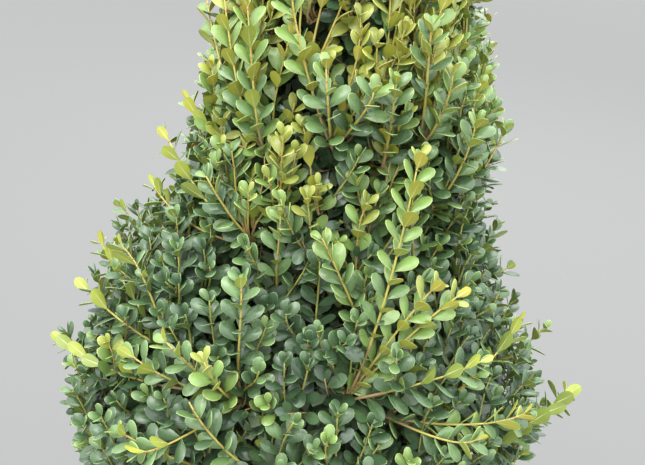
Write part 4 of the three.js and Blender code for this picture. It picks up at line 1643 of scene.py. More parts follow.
class Crown:
    """The crown's surface: its outline with hollows in it, and where the frame's pixels meet it."""

    HOLLOWS_ROUND = 34
    WIDEST = 0.28
    SEEN_ARC = 62

    def __init__(self, outline: Outline, studio: Studio) -> None:
        """Places the hollows that the photograph shows, and more of them round the rest of the crown.

        Args:
            outline: The crown's outline.
            studio: The camera that saw the hollows.
        """
        self.outline = outline
        self.studio = studio
        spots, ways, sizes, depths = [], [], [], []
        for hollow in SEEN_HOLLOWS:
            spot = self.met(hollow.x, hollow.y)
            spots.append(spot)
            ways.append(studio.ray(hollow.x, hollow.y))
            sizes.append(hollow.size * np.linalg.norm(spot - np.array(studio.eye)) / studio.focal())
            depths.append(hollow.depth)
        draw = np.random.default_rng(17)
        height = draw.uniform(0.47, 1.08, 4 * self.HOLLOWS_ROUND)
        azimuth = draw.uniform(-180, 180, len(height))
        reach = outline.radius(azimuth, height)
        hidden = (draw.random(len(height)) < reach / self.WIDEST) & (np.abs(azimuth + 90) > self.SEEN_ARC)
        round_ = outline.point(azimuth, reach, height)[hidden][: self.HOLLOWS_ROUND]
        inward = unit(np.array([outline.axis_x, 0, 0]) + round_ * [0, 0, 1] - round_ - [0, 0, 0.03])
        self.spots = np.concatenate([np.array(spots), round_])
        self.ways = np.concatenate([np.array(ways), inward])
        self.sizes = np.concatenate([sizes, draw.uniform(0.010, 0.017, len(round_))])
        self.depths = np.concatenate([depths, draw.uniform(0.04, 0.065, len(round_))])

    def met(self, x: float, y: float) -> Array:
        """Where the line of sight through a pixel first meets the outline, or else comes nearest to it.

        Args:
            x: Pixels from the frame's left edge.
            y: Pixels from its top.

        Returns:
            One point, found to half a millimetre along the line.
        """
        spots = np.array(self.studio.eye) + self.studio.ray(x, y) * np.linspace(0.45, 1.3, 1701)[:, None]
        depth = self.outline.depth(spots)
        inside = depth > 0
        return spots[np.argmax(inside) if inside.any() else np.argmax(depth)]

    def sunk(self, points: Array) -> Array:
        """How far shoots end short of the outline: the deepest hollow near, fading as exp(-distance^3)."""
        away = np.linalg.norm(points[..., None, :] - self.spots, axis=-1) / (1.25 * self.sizes)
        return np.max(self.depths * np.exp(-(away**3)), axis=-1)

    def open_at(self, points: Array) -> Array:
        """Flags the points that lie in a hollow, a narrowing tube from its mouth to its depth.

        Args:
            points: One point a row, on any number of axes.

        Returns:
            One flag for each point.
        """
        offset = points[..., None, :] - self.spots
        deep = np.sum(offset * self.ways, axis=-1)
        aside = np.linalg.norm(offset - deep[..., None] * self.ways, axis=-1)
        width = self.sizes * (1 - 0.4 * np.clip(deep / self.depths, 0, 1))
        return np.any((deep > -0.03) & (deep < self.depths) & (aside < width), axis=-1)


@dataclass(frozen=True)
class GrowthHabit:
    """How boxwood grows: sizes of its twigs and leaves, in metres and degrees.

    Where a pair of values is given, the first is for old growth and the second for young.

    Attributes:
        head_depth: How far behind the outline a leading twig ends.
        fan: Shoots that fan out of a leading twig.
        fan_radius: How far their tips spread over the outline.
        spacing: The least distance between their tips, low down and high up.
        inner: Short shoots further in on a leading twig.
        short: How far shoot tips stay inside the outline, low down and high up, for the leaves past them.
        node_step: Distance between pairs of leaves.
        leaf_length: Of a full-grown leaf.
        leaf_width: Its width as a share of its length.
        spread: The angle between a full-grown leaf and its shoot.
        tip_spread: The same for the pair at the tip.
        light: How far leaves bend their upper side to the light.
        roll: How far they roll to it about their own length.
        climb_heights: Heights with their own climb.
        climb_angles: How steeply shoots grow there.
        youth_heights: Heights with their own youth.
        youth_gains: How young the growth is there.
        spots: Where young shoots gather.
    """

    head_depth: float = 0.070
    fan: int = 7
    fan_radius: float = 0.040
    spacing: Pair = (0.0140, 0.0128)
    inner: int = 7
    short: Pair = (0.025, 0.016)
    node_step: Pair = (0.0078, 0.0088)
    leaf_length: Pair = (0.0230, 0.0218)
    leaf_width: Pair = (0.54, 0.52)
    spread: Pair = (47.0, 35.0)
    tip_spread: float = 30.0
    light: Pair = (0.30, 0.05)
    roll: float = 0.95
    climb_heights: tuple[float, ...] = (0.40, 0.46, 0.60, 0.80, 0.95, 1.10, 1.38)
    climb_angles: tuple[float, ...] = (6, 28, 50, 62, 70, 75, 85)
    youth_heights: tuple[float, ...] = (0.50, 0.85, 1.05, 1.38)
    youth_gains: tuple[float, ...] = (-0.33, 0.03, 0.38, 0.60)
    spots: tuple[Patch, ...] = (
        Patch(-118, 1.02, 44, 0.12, 1.00),
        Patch(-60, 1.02, 36, 0.11, 0.85),
        Patch(-66, 0.66, 14, 0.05, 0.35),
        Patch(-170, 0.60, 24, 0.07, 0.45),
        Patch(-10, 0.58, 22, 0.07, 0.45),
        Patch(60, 0.98, 40, 0.10, 0.7),
        Patch(130, 0.70, 30, 0.08, 0.5),
    )

    @staticmethod
    def light_at(outline: Outline, points: Array) -> Array:
        """The way most light comes from at a point: from outside the crown and from above."""
        return unit(around(np.radians(outline.azimuth(points)), 0.95, 0.75))

    def growing(self, outline: Outline, points: Array) -> Array:
        """The way shoots grow at a point: outwards, and the more steeply upwards the higher it is."""
        climb = np.radians(np.interp(points[..., 2], self.climb_heights, self.climb_angles))
        return around(np.radians(outline.azimuth(points)), np.cos(climb), np.sin(climb))


def spaced(points: Array, least: Array, taken: Array) -> Array:
    """Flags the points that keep a distance from every flagged one before them and from those taken.

    Args:
        points: One point a row.
        least: The distance that each has to keep.
        taken: Points to keep clear of, which may be none.

    Returns:
        One flag for each point.
    """
    near = np.linalg.norm(points[:, None] - points, axis=-1) < least[:, None]
    keep = np.ones(len(points), bool)
    if len(taken):
        keep = np.linalg.norm(points[:, None] - taken, axis=-1).min(axis=1) > least
    for index in range(1, len(points)):
        keep[index] = keep[index] and not np.any(near[index, :index] & keep[:index])
    return keep


class Foliage:
    """Everything that grows on from the limbs: stems, leading twigs, shoots and leaves."""

    SEED = 700
    # How much youth falls per metre of a hollow's depth; the older, darker leaves this brings paint shade in
    # the hollows.
    SHADE = 7.0
    RUST_SHARE = 0.0005
    AGE_STEPS = (-1.0, -0.10, 0.38, 0.78, 1.20)
    LOWEST_LEAF = 0.401
    LOWEST_INNER = 0.408
    FAN_HEIGHTS = (0.410, 1.345)
    INNER_DEPTH = 0.015
    TRUNK_CLEARANCE = 0.022
    TRUNK_TOP = 0.95
    FIRST_NODE = 0.0012
    SHOWN_DEPTH = 0.040
    LEAST_DEPTH = 0.012
    UNTANGLED_DEPTH = 0.07
    LEAF_REACH = 0.019
    LEADING_RADII = (0.0019, 0.0011)
    OUTER_RADII = (0.0013, 0.0007)
    INNER_RADII = (0.0009, 0.0005)
    SEEN_RADII = (0.0015, 0.0007)
    SEEN_SCALE = 1.08
    GREEN_YOUTH = 0.45
    OUTER_PAIRS = (Detail.FULL,) * 4 + (Detail.PLAIN,) * 5
    SEEN_PAIRS = (Detail.FULL,) * 11 + (Detail.PLAIN,) * 5
    INNER_PAIRS = (Detail.DEEP,) * 6

    def __init__(self, plan: PlantPlan, crown: Crown) -> None:
        """Keeps the plan and makes the materials.

        Args:
            plan: Where the limbs and masses lie.
            crown: The crown's surface.
        """
        self.plan = plan
        self.crown = crown
        self.outline = plan.outline
        self.habit = GrowthHabit()
        self.shape = LeafShape()
        midrib = SoftFinish("leaf_midrib", "bdbb80", "cfcc94", 0.02, 0.5, 0.0001).make()
        self.tints = {age: [finish.make() for finish in age.finishes()] + [midrib] for age in Age}
        self.twig_bark = SoftFinish("twig_bark", "8f7656", "b59a74", 0.012, 0.8, 0.0006).make()
        self.stem_skins = [
            SoftFinish("shoot_tan", "a08558", "bb9f70", 0.02, 0.6).make(),
            SoftFinish("shoot_green", "8e9748", "a9ad58", 0.02, 0.5).make(),
            SoftFinish("shoot_amber", "a8994a", "bfb45e", 0.02, 0.5).make(),
            SoftFinish("bud_collar", "9f7440", "b98d52", 0.01, 0.6).make(),
        ]

    def leading(self, masses: list[Mass], draw: Draw) -> Shoots:
        """The leading twigs of a tier: rows and columns spread over each mass, grown out of its stem.

        Args:
            masses: The tier's masses.
            draw: Random numbers.

        Returns:
            The twigs, from the stem to a little behind the outline.
        """
        tier = masses[0].tier
        rows, columns = np.divmod(np.arange(tier.rows * tier.columns), tier.columns)
        parts = []
        for mass in masses:
            jitter = draw.uniform(-0.24, 0.24, (2, len(rows)))
            shift = np.where(rows % 2 == 0, 0.12, -0.12)
            height = lerp(tier.low, tier.high, (rows + 0.5 + jitter[0]) / tier.rows)
            place = (columns + 0.5 + shift + jitter[1]) / tier.columns
            azimuth = mass.azimuth + mass.half_angle * (2 * place - 1)
            spot = self.outline.point(azimuth, self.outline.radius(azimuth, height), height)
            away = self.habit.growing(self.outline, spot)
            head = spot - away * self.habit.head_depth * draw.uniform(0.85, 1.15, (len(rows), 1))
            share = np.minimum(draw.uniform(0.1, 1.0, (len(rows), 1)), self.highest(mass, head))
            root = lerp(mass.stem[0], mass.stem[1], share)
            reach = np.linalg.norm(head - root, axis=-1, keepdims=True)
            leaving = 0.6 * unit(unit(mass.stem[1] - mass.stem[0]) + 3.0 * unit(head - root)) * reach
            parts.append(Shoots(root, leaving, head, away * reach * 0.55, np.zeros(len(rows))))
        return Shoots.joined(parts)

    @staticmethod
    def highest(mass: Mass, heads: Array) -> Array:
        """How far up a mass's stem a twig can leave it and still climb to its head.

        Args:
            mass: The mass.
            heads: Where the twigs end.

        Returns:
            A share of the stem's length for each, which is 1 on a stem that lies flat.
        """
        foot, rise = mass.stem[0], (mass.stem[1] - mass.stem[0])[2]
        if rise < 0.6 * np.linalg.norm(mass.stem[1] - mass.stem[0]):
            return np.ones((len(heads), 1))
        aside = np.linalg.norm((heads - foot)[:, :2], axis=-1, keepdims=True)
        return np.clip((heads[:, 2:] - 0.5 * aside - foot[2]) / rise, 0.08, 1.0)

    def leading_at_tip(self, draw: Draw) -> Shoots:
        """The leading twigs of the crown's tip, in four rows of four round the leader's own stem.

        Args:
            draw: Random numbers.

        Returns:
            The twigs.
        """
        rows, columns = np.divmod(np.arange(16), 4)
        share = (rows + 0.5 + draw.uniform(-0.2, 0.2, 16)) / 4
        height = lerp(self.plan.TIP_LOW, self.plan.TIP_HIGH - 0.05, share)
        azimuth = 90 * columns + 45 * rows + draw.uniform(-18, 18, 16)
        spot = self.outline.point(azimuth, self.outline.radius(azimuth, height), height)
        away = self.habit.growing(self.outline, spot)
        head = spot - away * 0.045
        root = self.outline.point(0.0, 0.0, np.maximum(head[:, 2] - 0.03, self.plan.TIP_LOW - 0.006))
        reach = np.linalg.norm(head - root, axis=-1, keepdims=True)
        return Shoots(root, [[0, 0, 1]] * reach, head, away * reach, np.zeros(16))

    def topmost(self) -> Shoots:
        """The leading shoots that end the crown: one straight up, and two lower ones beside it."""
        root = self.outline.point(0.0, 0.0, np.array([1.272, 1.250, 1.262]))
        azimuth, out = np.array([-70.0, 150.0, 30.0]), np.array([0.004, 0.017, 0.014])
        tip = self.outline.point(azimuth, out, np.array([1.368, 1.335, 1.318]))
        reach = np.linalg.norm(tip - root, axis=-1, keepdims=True)
        return Shoots(root, [[0, 0, 1]] * reach, tip, [[0, 0, 1]] * reach, np.array([0.7, 0.5, 0.4]))

    def youth_at(self, points: Array) -> Array:
        """How young the growth is: more so near the top and at the named spots, and patchy at random.

        Args:
            points: One point a row.

        Returns:
            About -1 for old growth to 1 for the newest, and less in the hollows, so that older, darker leaf
            colours there paint shade as well as older growth.
        """
        azimuth = self.outline.azimuth(points)
        total = 0.16 * Ripple(11, 0.16).at(points) + 0.12 * Ripple(12, 0.06).at(points)
        total = total + np.interp(points[..., 2], self.habit.youth_heights, self.habit.youth_gains)
        for spot in self.habit.spots:
            total = total + spot.at(azimuth, points[..., 2])
        # Less youth in the hollows: older, darker leaves there, as painted shade.
        return total - self.SHADE * np.minimum(self.crown.sunk(points), 0.08)

    def sprigs(self, leading: Shoots, low: float, high: float) -> Shoots:
        """The long shoots that the photograph shows, each grown out of the nearest leading twig.

        Args:
            leading: The leading twigs of a tier.
            low: The lowest foot that belongs to this tier.
            high: The highest.

        Returns:
            The shoots.
        """
        eye = np.array(self.crown.studio.eye)
        starts = leading.at(np.full((len(leading.root), 1), 0.8))[:, 0]
        headings = leading.heading(np.full((len(leading.root), 1), 0.8))[:, 0]
        parts = []
        for sprig in SEEN_SPRIGS:
            foot = self.crown.met(*sprig.foot)
            if not low <= foot[2] < high:
                continue
            tip = self.crown.met(*sprig.tip)
            tip = tip + unit(eye - tip) * sprig.proud
            foot = foot + unit(eye - foot) * 0.3 * sprig.proud
            nearest = np.argmin(np.linalg.norm(starts - foot - 0.02 * unit(foot - tip), axis=-1))
            root = starts[nearest]
            reach = np.linalg.norm(tip - root)
            leaving = 0.6 * reach * unit(headings[nearest] + unit(foot - root))
            parts.append((root, leaving, tip, 1.7 * (tip - foot), sprig.youth))
        if not parts:
            return leading.kept(np.zeros(len(leading.root), bool))
        return Shoots(*(np.array(column) for column in zip(*parts)))

    def fans(self, leading: Shoots, draw: Draw, taken: Shoots, depth: float = 1.0) -> Shoots:
        """The outer shoots: a fan out of each leading twig, their tips spread over the outline.

        Args:
            leading: The twigs that they leave.
            draw: Random numbers.
            taken: Long shoots that others keep clear of.
            depth: Scales the fan where the crown is narrow.

        Returns:
            The shoots.
        """
        count, fan = len(leading.root), self.habit.fan
        outline = self.outline
        shares = draw.uniform(0.60, 1.0, (count, fan))
        root = leading.at(shares).reshape(-1, 3)
        leaving = leading.heading(shares).reshape(-1, 3)
        head = np.repeat(leading.tip, fan, axis=0)
        spot = head + np.repeat(unit(leading.arriving), fan, axis=0) * self.habit.head_depth * depth
        wheel = np.arange(fan) / fan + draw.uniform(0, 1, (count, 1))
        wheel = 2 * math.pi * (wheel + draw.uniform(-0.07, 0.07, (count, fan))).ravel()
        spread = self.habit.fan_radius * np.sqrt(draw.uniform(0.05, 1.0, count * fan)) * (0.55 + 0.45 * depth)
        height = np.clip(spot[:, 2] + spread * np.sin(wheel), *self.FAN_HEIGHTS)
        turned = spread * np.cos(wheel) / np.maximum(outline.out(spot), 0.03)
        azimuth = outline.azimuth(spot) + np.degrees(turned)
        full = outline.radius(azimuth, height)
        sunk = self.crown.sunk(outline.point(azimuth, full, height))
        short = lerp(*self.habit.short, np.clip((height - 0.60) / 0.20, 0, 1))
        radius = full - short - sunk + 0.0055 * draw.normal(size=len(height))
        tip = outline.point(azimuth, np.maximum(radius, 0.002), height)
        long = draw.random(len(height)) < 0.08
        aside = unit(tip - head)
        arriving = unit(self.habit.growing(outline, tip) + 0.40 * aside + draw.normal(0, 0.15, tip.shape))
        tip = tip + arriving * np.where(long, draw.uniform(0.008, 0.020, len(height)), 0.0)[:, None]
        reach = np.linalg.norm(tip - root, axis=-1, keepdims=True)
        leaving = unit(leaving + 0.8 * unit(tip - root)) * reach
        youth = self.youth_at(tip) + 0.26 * draw.normal(size=len(height)) + 0.25 * long
        stations = np.broadcast_to(np.linspace(0.45, 1, 8), (len(taken.root), 8))
        shoots = Shoots(root, leaving, tip, arriving * reach, youth)
        least = lerp(*self.habit.spacing, np.clip((tip[:, 2] - 0.70) / 0.25, 0, 1))
        shoots = shoots.kept(spaced(tip, least, taken.at(stations).reshape(-1, 3)))
        outer_half = shoots.at(np.broadcast_to([0.7, 0.95], (len(shoots.root), 2)))
        return shoots.kept(~self.crown.open_at(outer_half).any(axis=1))

    def within(self, shoots: Shoots) -> Shoots:
        """Only the shoots that end well inside the crown and clear of the mulch."""
        inside = self.outline.depth(shoots.tip) > self.INNER_DEPTH
        return shoots.kept(inside & (shoots.tip[:, 2] > self.LOWEST_INNER))

    def inner_shoots(self, leading: Shoots, draw: Draw) -> Shoots:
        """Short old shoots further in, which leave the leading twigs to all sides.

        Args:
            leading: The leading twigs.
            draw: Random numbers.

        Returns:
            The shoots.
        """
        count, inner = len(leading.root), self.habit.inner
        shares = draw.uniform(0.05, 0.80, (count, inner))
        root = leading.at(shares).reshape(-1, 3)
        along = leading.heading(shares).reshape(-1, 3)
        way = self.habit.growing(self.outline, root)
        aside = square_to(draw.normal(size=root.shape), along)
        ahead = unit(0.4 * along + 0.35 * way + 1.0 * aside)
        length = draw.uniform(0.030, 0.050, (len(root), 1))
        arriving = unit(ahead + 0.5 * way)
        tip = root + 0.5 * length * (ahead + arriving)
        youth = 0.9 * np.clip(self.youth_at(tip), 0, 1) - 1.3
        return self.within(Shoots(root, ahead * length, tip, arriving * length, youth))

    def core_shoots(self, masses: list[Mass], draw: Draw) -> Shoots:
        """Old shoots round the limbs, which fill the middle of the crown.

        Args:
            masses: The masses of a tier.
            draw: Random numbers.

        Returns:
            The shoots.
        """
        tier = masses[0].tier
        limbs = [resampled(mass.stem, 26) for mass in masses]
        limbs += [resampled(mass.bough, 24)[6:] for mass in masses if mass.bough is not None]
        trunk = self.plan.trunk.centre(np.linspace(0.5, self.plan.trunk.fork, 130))
        leaders = [resampled(self.plan.leader_right, 50), resampled(self.plan.leader_left, 40)]
        main = np.concatenate([trunk, *leaders])
        limbs.append(main[(main[:, 2] > tier.low) & (main[:, 2] < tier.high)])
        root = np.concatenate(limbs)
        ahead = unit(draw.normal(size=root.shape) + [0, 0, 0.35])
        length = draw.uniform(0.05, 0.085, (len(root), 1))
        arriving = unit(ahead + [0, 0, 0.5])
        tip = root + 0.5 * length * (ahead + arriving)
        return self.within(Shoots(root, ahead * length, tip, arriving * length, np.full(len(root), -1.6)))

    def leaves_on(
        self, shoots: Shoots, draw: Draw, details: tuple[Detail, ...], scale: float = 1.0
    ) -> Leaves:
        """Leaves in opposite pairs, each pair square to the last, smaller and more upright near the tip.

        A leaf leaves its node at a spread from the shoot's direction, and its upper side faces the shoot's
        tip. It is then rolled about its own length towards the light, and old leaves are bent to it too.

        Args:
            shoots: The shoots.
            draw: Random numbers.
            details: The detail of each pair, from the tip down.
            scale: Makes all of them larger or smaller.

        Returns:
            The leaves.
        """
        habit, count, pairs = self.habit, len(shoots.root), len(details)
        number = np.arange(pairs)
        length = shoots.length()
        young = np.clip(shoots.youth, 0, 1)[:, None]
        step = lerp(*habit.node_step, young) * draw.uniform(0.85, 1.18, (count, 1))
        back = self.FIRST_NODE + step * number**1.06 * (0.6 + 0.4 * np.minimum(number / 2, 1))
        shares = 1 - back / length[:, None]
        exists = shares > 0.06
        shares = np.maximum(shares, 0.0)
        node = shoots.at(shares)
        axis = shoots.heading(shares)
        outward = habit.light_at(self.outline, shoots.tip)[:, None]
        start = square_to(outward + 0.45 * draw.normal(size=(count, 1, 3)), axis[:, :1])
        turn = 0.5 * math.pi * (number + draw.integers(0, 2, (count, 1)))
        turn = turn + draw.normal(0, 0.14, (count, pairs))
        radial = spun(square_to(np.broadcast_to(start, axis.shape), axis), axis, turn)
        radial = np.stack([radial, -radial], axis=2)
        axis = np.repeat(axis[:, :, None], 2, axis=2)
        node = np.repeat(node[:, :, None], 2, axis=2)
        shape = axis.shape[:3]
        young = young[..., None]
        grown = np.minimum(number / 3.0, 1)[None, :, None]
        spread = lerp(habit.tip_spread, lerp(*habit.spread, young), grown) + draw.normal(0, 7, shape)
        cosine, sine = np.cos(np.radians(spread))[..., None], np.sin(np.radians(spread))[..., None]
        along = cosine * axis + sine * radial
        facing = sine * axis - cosine * radial
        light = habit.light_at(self.outline, node)
        aside = np.cross(along, facing)
        roll = habit.roll * np.sum(light * aside, axis=-1, keepdims=True)
        bend = lerp(0.04, lerp(*habit.light, young), grown)[..., None]
        facing = unit(facing + roll * aside + bend * light + draw.normal(0, 0.11, facing.shape))
        along = square_to(along + 0.4 * bend * light, facing)
        size = 0.42 + 0.58 * (1 - np.exp(-(back + 0.002) / 0.0100))
        size = size[..., None] * draw.uniform(0.84, 1.10, shape)
        leaf = scale * lerp(*habit.leaf_length, young) * size
        width = leaf * lerp(*habit.leaf_width, young) * draw.uniform(0.90, 1.10, shape)
        fold = lerp(0.14, 0.03, grown) + draw.normal(0, 0.10, shape)
        curl = lerp(0.02, 0.12, grown) + draw.normal(0, 0.06, shape)
        age = shoots.youth[:, None, None] + lerp(0.34, -0.22, np.minimum(number / 4, 1))[None, :, None]
        age = age + 0.10 * draw.normal(size=shape)
        index = np.searchsorted(self.AGE_STEPS, age)
        index = np.where(draw.random(shape) < self.RUST_SHARE, len(Age) - 1, index)
        middle = node + along * 0.5 * leaf[..., None]
        depth = self.outline.depth(middle)
        detail = np.broadcast_to(np.array([one.value for one in details])[None, :, None], shape)
        shown = (detail == Detail.DEEP.value) & (depth < self.SHOWN_DEPTH)
        detail = np.where(shown, Detail.PLAIN.value, detail)
        index = np.where(shown, 1 + (draw.random(shape) < 0.4), index)
        keep = exists[..., None] & self.clear(node, node + along * leaf[..., None])
        keep &= ~self.crown.open_at(middle) & (~shown | (depth > self.LEAST_DEPTH))
        parts = (node + 0.0003 * radial, along, facing, leaf, width, fold, curl, index, detail)
        flat = [part.reshape(-1, 3) if part.ndim == 4 else part.reshape(-1) for part in parts]
        return Leaves(*flat).kept(keep.ravel())

    def untangled(self, leaves: Leaves) -> Array:
        """Flags the leaves that stay when, of any two outer ones that cross, the deeper one goes.

        Args:
            leaves: All leaves of the plant.

        Returns:
            One flag for each leaf.
        """
        middle = leaves.middle()
        depth = self.outline.depth(middle)
        outer = np.flatnonzero((leaves.detail != Detail.DEEP.value) & (depth < self.UNTANGLED_DEPTH))
        one, other = outer[near_pairs(middle[outer], self.LEAF_REACH)]
        cut = pierced(leaves.kept(one), leaves.kept(other)) | pierced(leaves.kept(other), leaves.kept(one))
        one, other = one[cut], other[cut]
        keep = np.ones(len(depth), bool)
        order = np.argsort(np.minimum(depth[one], depth[other]))
        for first, second in zip(one[order], other[order]):
            if keep[first] and keep[second]:
                keep[first if depth[first] > depth[second] else second] = False
        LOG.info("%d outer leaves, %d crossings, %d left out", len(outer), len(one), len(keep) - keep.sum())
        return keep

    def clear(self, root: Array, tip: Array) -> Array:
        """Flags the leaves that clear the pot's rim, the mulch and the trunk.

        Args:
            root: Where each leaf starts.
            tip: Where it ends.

        Returns:
            One flag for each leaf.
        """
        lowest = np.minimum(root[..., 2], tip[..., 2])
        nearest = np.minimum(np.hypot(root[..., 0], root[..., 1]), np.hypot(tip[..., 0], tip[..., 1]))
        off_trunk = (nearest > self.TRUNK_CLEARANCE) | (lowest > self.TRUNK_TOP)
        return (lowest > self.LOWEST_LEAF) & off_trunk

    @staticmethod
    def wood(
        gather: Gather,
        twigs: Shoots,
        radii: Pair,
        sides: int,
        stations: int,
        slots: Array | int = -1,
    ) -> None:
        """Adds twigs as tapering tubes.

        Args:
            gather: Takes the twigs.
            twigs: The twigs.
            radii: At the root and at the tip.
            sides: Corners in a ring.
            stations: Rings along a twig.
            slots: Material of each twig's outer part, or -1 for its whole length in slot 0.
        """
        count = len(twigs.root)
        shares = np.broadcast_to(np.linspace(0, 1, stations), (count, stations))
        points, faces, places = tubes(twigs.at(shares), lerp(*radii, shares), sides)
        outer = np.repeat(np.broadcast_to(slots, count), len(faces) // count)
        gather.add(points, faces, slot=np.where((places > 0.35) & (outer >= 0), outer, 0))

    def collars(self, gather: Gather, shoots: Shoots, draw: Draw) -> None:
        """Adds the swollen joint under each of the outer pairs: a small eight-faced bead on the shoot.

        Args:
            gather: Takes the beads.
            shoots: The shoots.
            draw: Random numbers.
        """
        count, joints = len(shoots.root), 4
        young = np.clip(shoots.youth, 0, 1)[:, None]
        step = lerp(*self.habit.node_step, young)
        back = self.FIRST_NODE + step * np.arange(1, joints + 1) * draw.uniform(0.95, 1.05, (count, joints))
        shares = np.clip(1 - back / shoots.length()[:, None], 0.05, 1)
        middle = shoots.at(shares).reshape(-1, 3)
        axis = shoots.heading(shares).reshape(-1, 3)
        side = square_to(draw.normal(size=axis.shape), axis)
        other = np.cross(axis, side)
        across, tall = 0.0014 * np.stack([side, other, -side, -other], axis=1), 0.0018 * axis[:, None]
        corners = middle[:, None] + np.concatenate([across, tall, -tall], axis=1)
        first = np.arange(4)
        after = np.roll(first, -1)
        upper = np.stack([first, after, np.full(4, 4)], axis=-1)
        lower = np.stack([after, first, np.full(4, 5)], axis=-1)
        gather.add(corners, repeated(np.concatenate([upper, lower]), corners), slot=3)

    def stems(self, gather: Gather, masses: list[Mass]) -> None:
        """Adds the stem of each mass, from its limb's tip into the depth of the leaves.

        Args:
            gather: Takes the stems.
            masses: The masses of a tier.
        """
        lines = np.stack([mass.stem for mass in masses])
        shares = np.linspace(0, 1, 9)[:, None]
        points = lines[:, None, 0] + (lines[:, 1] - lines[:, 0])[:, None] * shares
        sway = np.stack([Ripple(seed, 0.09).at(points) for seed in (91, 92, 93)], axis=-1)
        points = points + 0.002 * sway * (shares * (1 - shares) * 4)
        radii = np.broadcast_to(lerp(0.0034, 0.0020, shares[:, 0]), points.shape[:2])
        corners, faces, _ = tubes(points, radii, 9)
        gather.add(corners, faces)

    def dress(self, name: str, nodes: list[str], age: Age, leaves: Leaves) -> Piece:
        """Turns leaves of one age into a piece.

        Args:
            name: The piece's name after "leaves_".
            nodes: The solids that it stands for.
            age: The leaves' age.
            leaves: The leaves.

        Returns:
            The new object.
        """
        crowd = Gather()
        for detail in Detail:
            chosen = leaves.detail == detail.value
            if chosen.any():
                points, faces, slots = self.shape.formed(leaves.kept(chosen), detail)
                crowd.add(points, faces, slot=slots, smooth=(slots < 1) & (detail is Detail.FULL))
        return crowd.piece(f"leaves_{name}", self.tints[age], "foliage", nodes)

    def shoots_of(self, tier: Tier, masses: list[Mass], draw: Draw) -> list[Shoots]:
        """Lays out all that grows in a tier.

        Args:
            tier: The tier.
            masses: Its masses.
            draw: Random numbers.

        Returns:
            Leading twigs, outer shoots, inner shoots and the long shoots that the photograph shows.
        """
        leading = self.leading(masses, draw)
        lowest, topmost = tier is TIERS[0], tier is TIERS[-1]
        seen = self.sprigs(leading, 0.0 if lowest else tier.low, 2.0 if topmost else tier.high + 0.001)
        outer = [self.fans(leading, draw, seen)]
        inner = [self.inner_shoots(leading, draw), self.core_shoots(masses, draw)]
        if topmost:
            above = self.leading_at_tip(draw)
            outer += [self.topmost(), self.fans(above, draw, self.topmost(), 0.62)]
            inner.append(self.inner_shoots(above, draw))
            leading = Shoots.joined([leading, above])
        return [leading, Shoots.joined(outer), Shoots.joined(inner), seen]

    def grown(self, tier: Tier, nodes: list[str], draw: Draw) -> tuple[list[Piece], Leaves]:
        """Grows one tier: stems, leading twigs, shoots and their leaves.

        Args:
            tier: The tier.
            nodes: The solids that its pieces stand for.
            draw: Random numbers.

        Returns:
            The pieces of twigs and of shoots, and the leaves.
        """
        masses = self.plan.masses_of(tier)
        leading, outer, inner, seen = self.shoots_of(tier, masses, draw)
        wood, soft = Gather(), Gather()
        self.stems(wood, masses)
        self.wood(wood, leading, self.LEADING_RADII, 6, 9)
        twigs = wood.piece(f"twigs_{tier.name}", [self.twig_bark], "bark", nodes)
        self.wood(soft, outer, self.OUTER_RADII, 4, 7, np.where(outer.youth > self.GREEN_YOUTH, 2, 1))
        self.collars(soft, outer, draw)
        self.wood(soft, inner, self.INNER_RADII, 3, 3)
        leaves = [self.leaves_on(outer, draw, self.OUTER_PAIRS)]
        leaves.append(self.leaves_on(inner, draw, self.INNER_PAIRS))
        if len(seen.root):
            self.wood(soft, seen, self.SEEN_RADII, 6, 12, 2)
            self.collars(soft, seen, draw)
            leaves.append(self.leaves_on(seen, draw, self.SEEN_PAIRS, self.SEEN_SCALE))
        LOG.info("%s: %d outer shoots, %d inner", tier.name, len(outer.root), len(inner.root))
        shoots = soft.piece(f"shoots_{tier.name}", self.stem_skins, "foliage", nodes)
        return [twigs, shoots], Leaves.joined(leaves)

    def build(self) -> list[Piece]:
        """Grows every tier, untangles the leaves of all tiers at once and dresses them by age."""
        pieces, crowds, nodes = [], [], []
        for number, tier in enumerate(TIERS):
            nodes.append([f"foliage_{mass.label}" for mass in self.plan.masses_of(tier)])
            if tier is TIERS[-1]:
                nodes[-1].append("foliage_tip")
            woods, leaves = self.grown(tier, nodes[-1], np.random.default_rng(self.SEED + number))
            pieces += woods
            crowds.append(leaves)
        crowd = Leaves.joined(crowds)
        keep = self.untangled(crowd)
        tier_of = np.repeat(np.arange(len(TIERS)), [len(one.age) for one in crowds])
        *common, rust = Age
        for number, tier in enumerate(TIERS):
            for index, age in enumerate(common):
                mine = crowd.kept(keep & (tier_of == number) & (crowd.age == index))
                pieces.append(self.dress(f"{age.value[0]}_{tier.name}", nodes[number], age, mine))
        turned = crowd.kept(keep & (crowd.age == len(common)))
        return [*pieces, self.dress("rust", sum(nodes, []), rust, turned)]


# Studio


def linked(name: str, data: bpy.types.ID) -> Piece:
    """A new object of the scene.

    Args:
        name: The object's name.
        data: The mesh, light or camera that it holds.

    Returns:
        The object.
    """
    thing = bpy.data.objects.new(name, data)
    bpy.context.scene.collection.objects.link(thing)
    return thing


def looking(right: Array, top: Array, ahead: Array, place: Triple) -> Matrix:
    """The place and turn of a light or camera, which looks along its own -Z."""
    return Matrix([[right[i], top[i], -ahead[i], place[i]] for i in range(3)] + [[0, 0, 0, 1]])


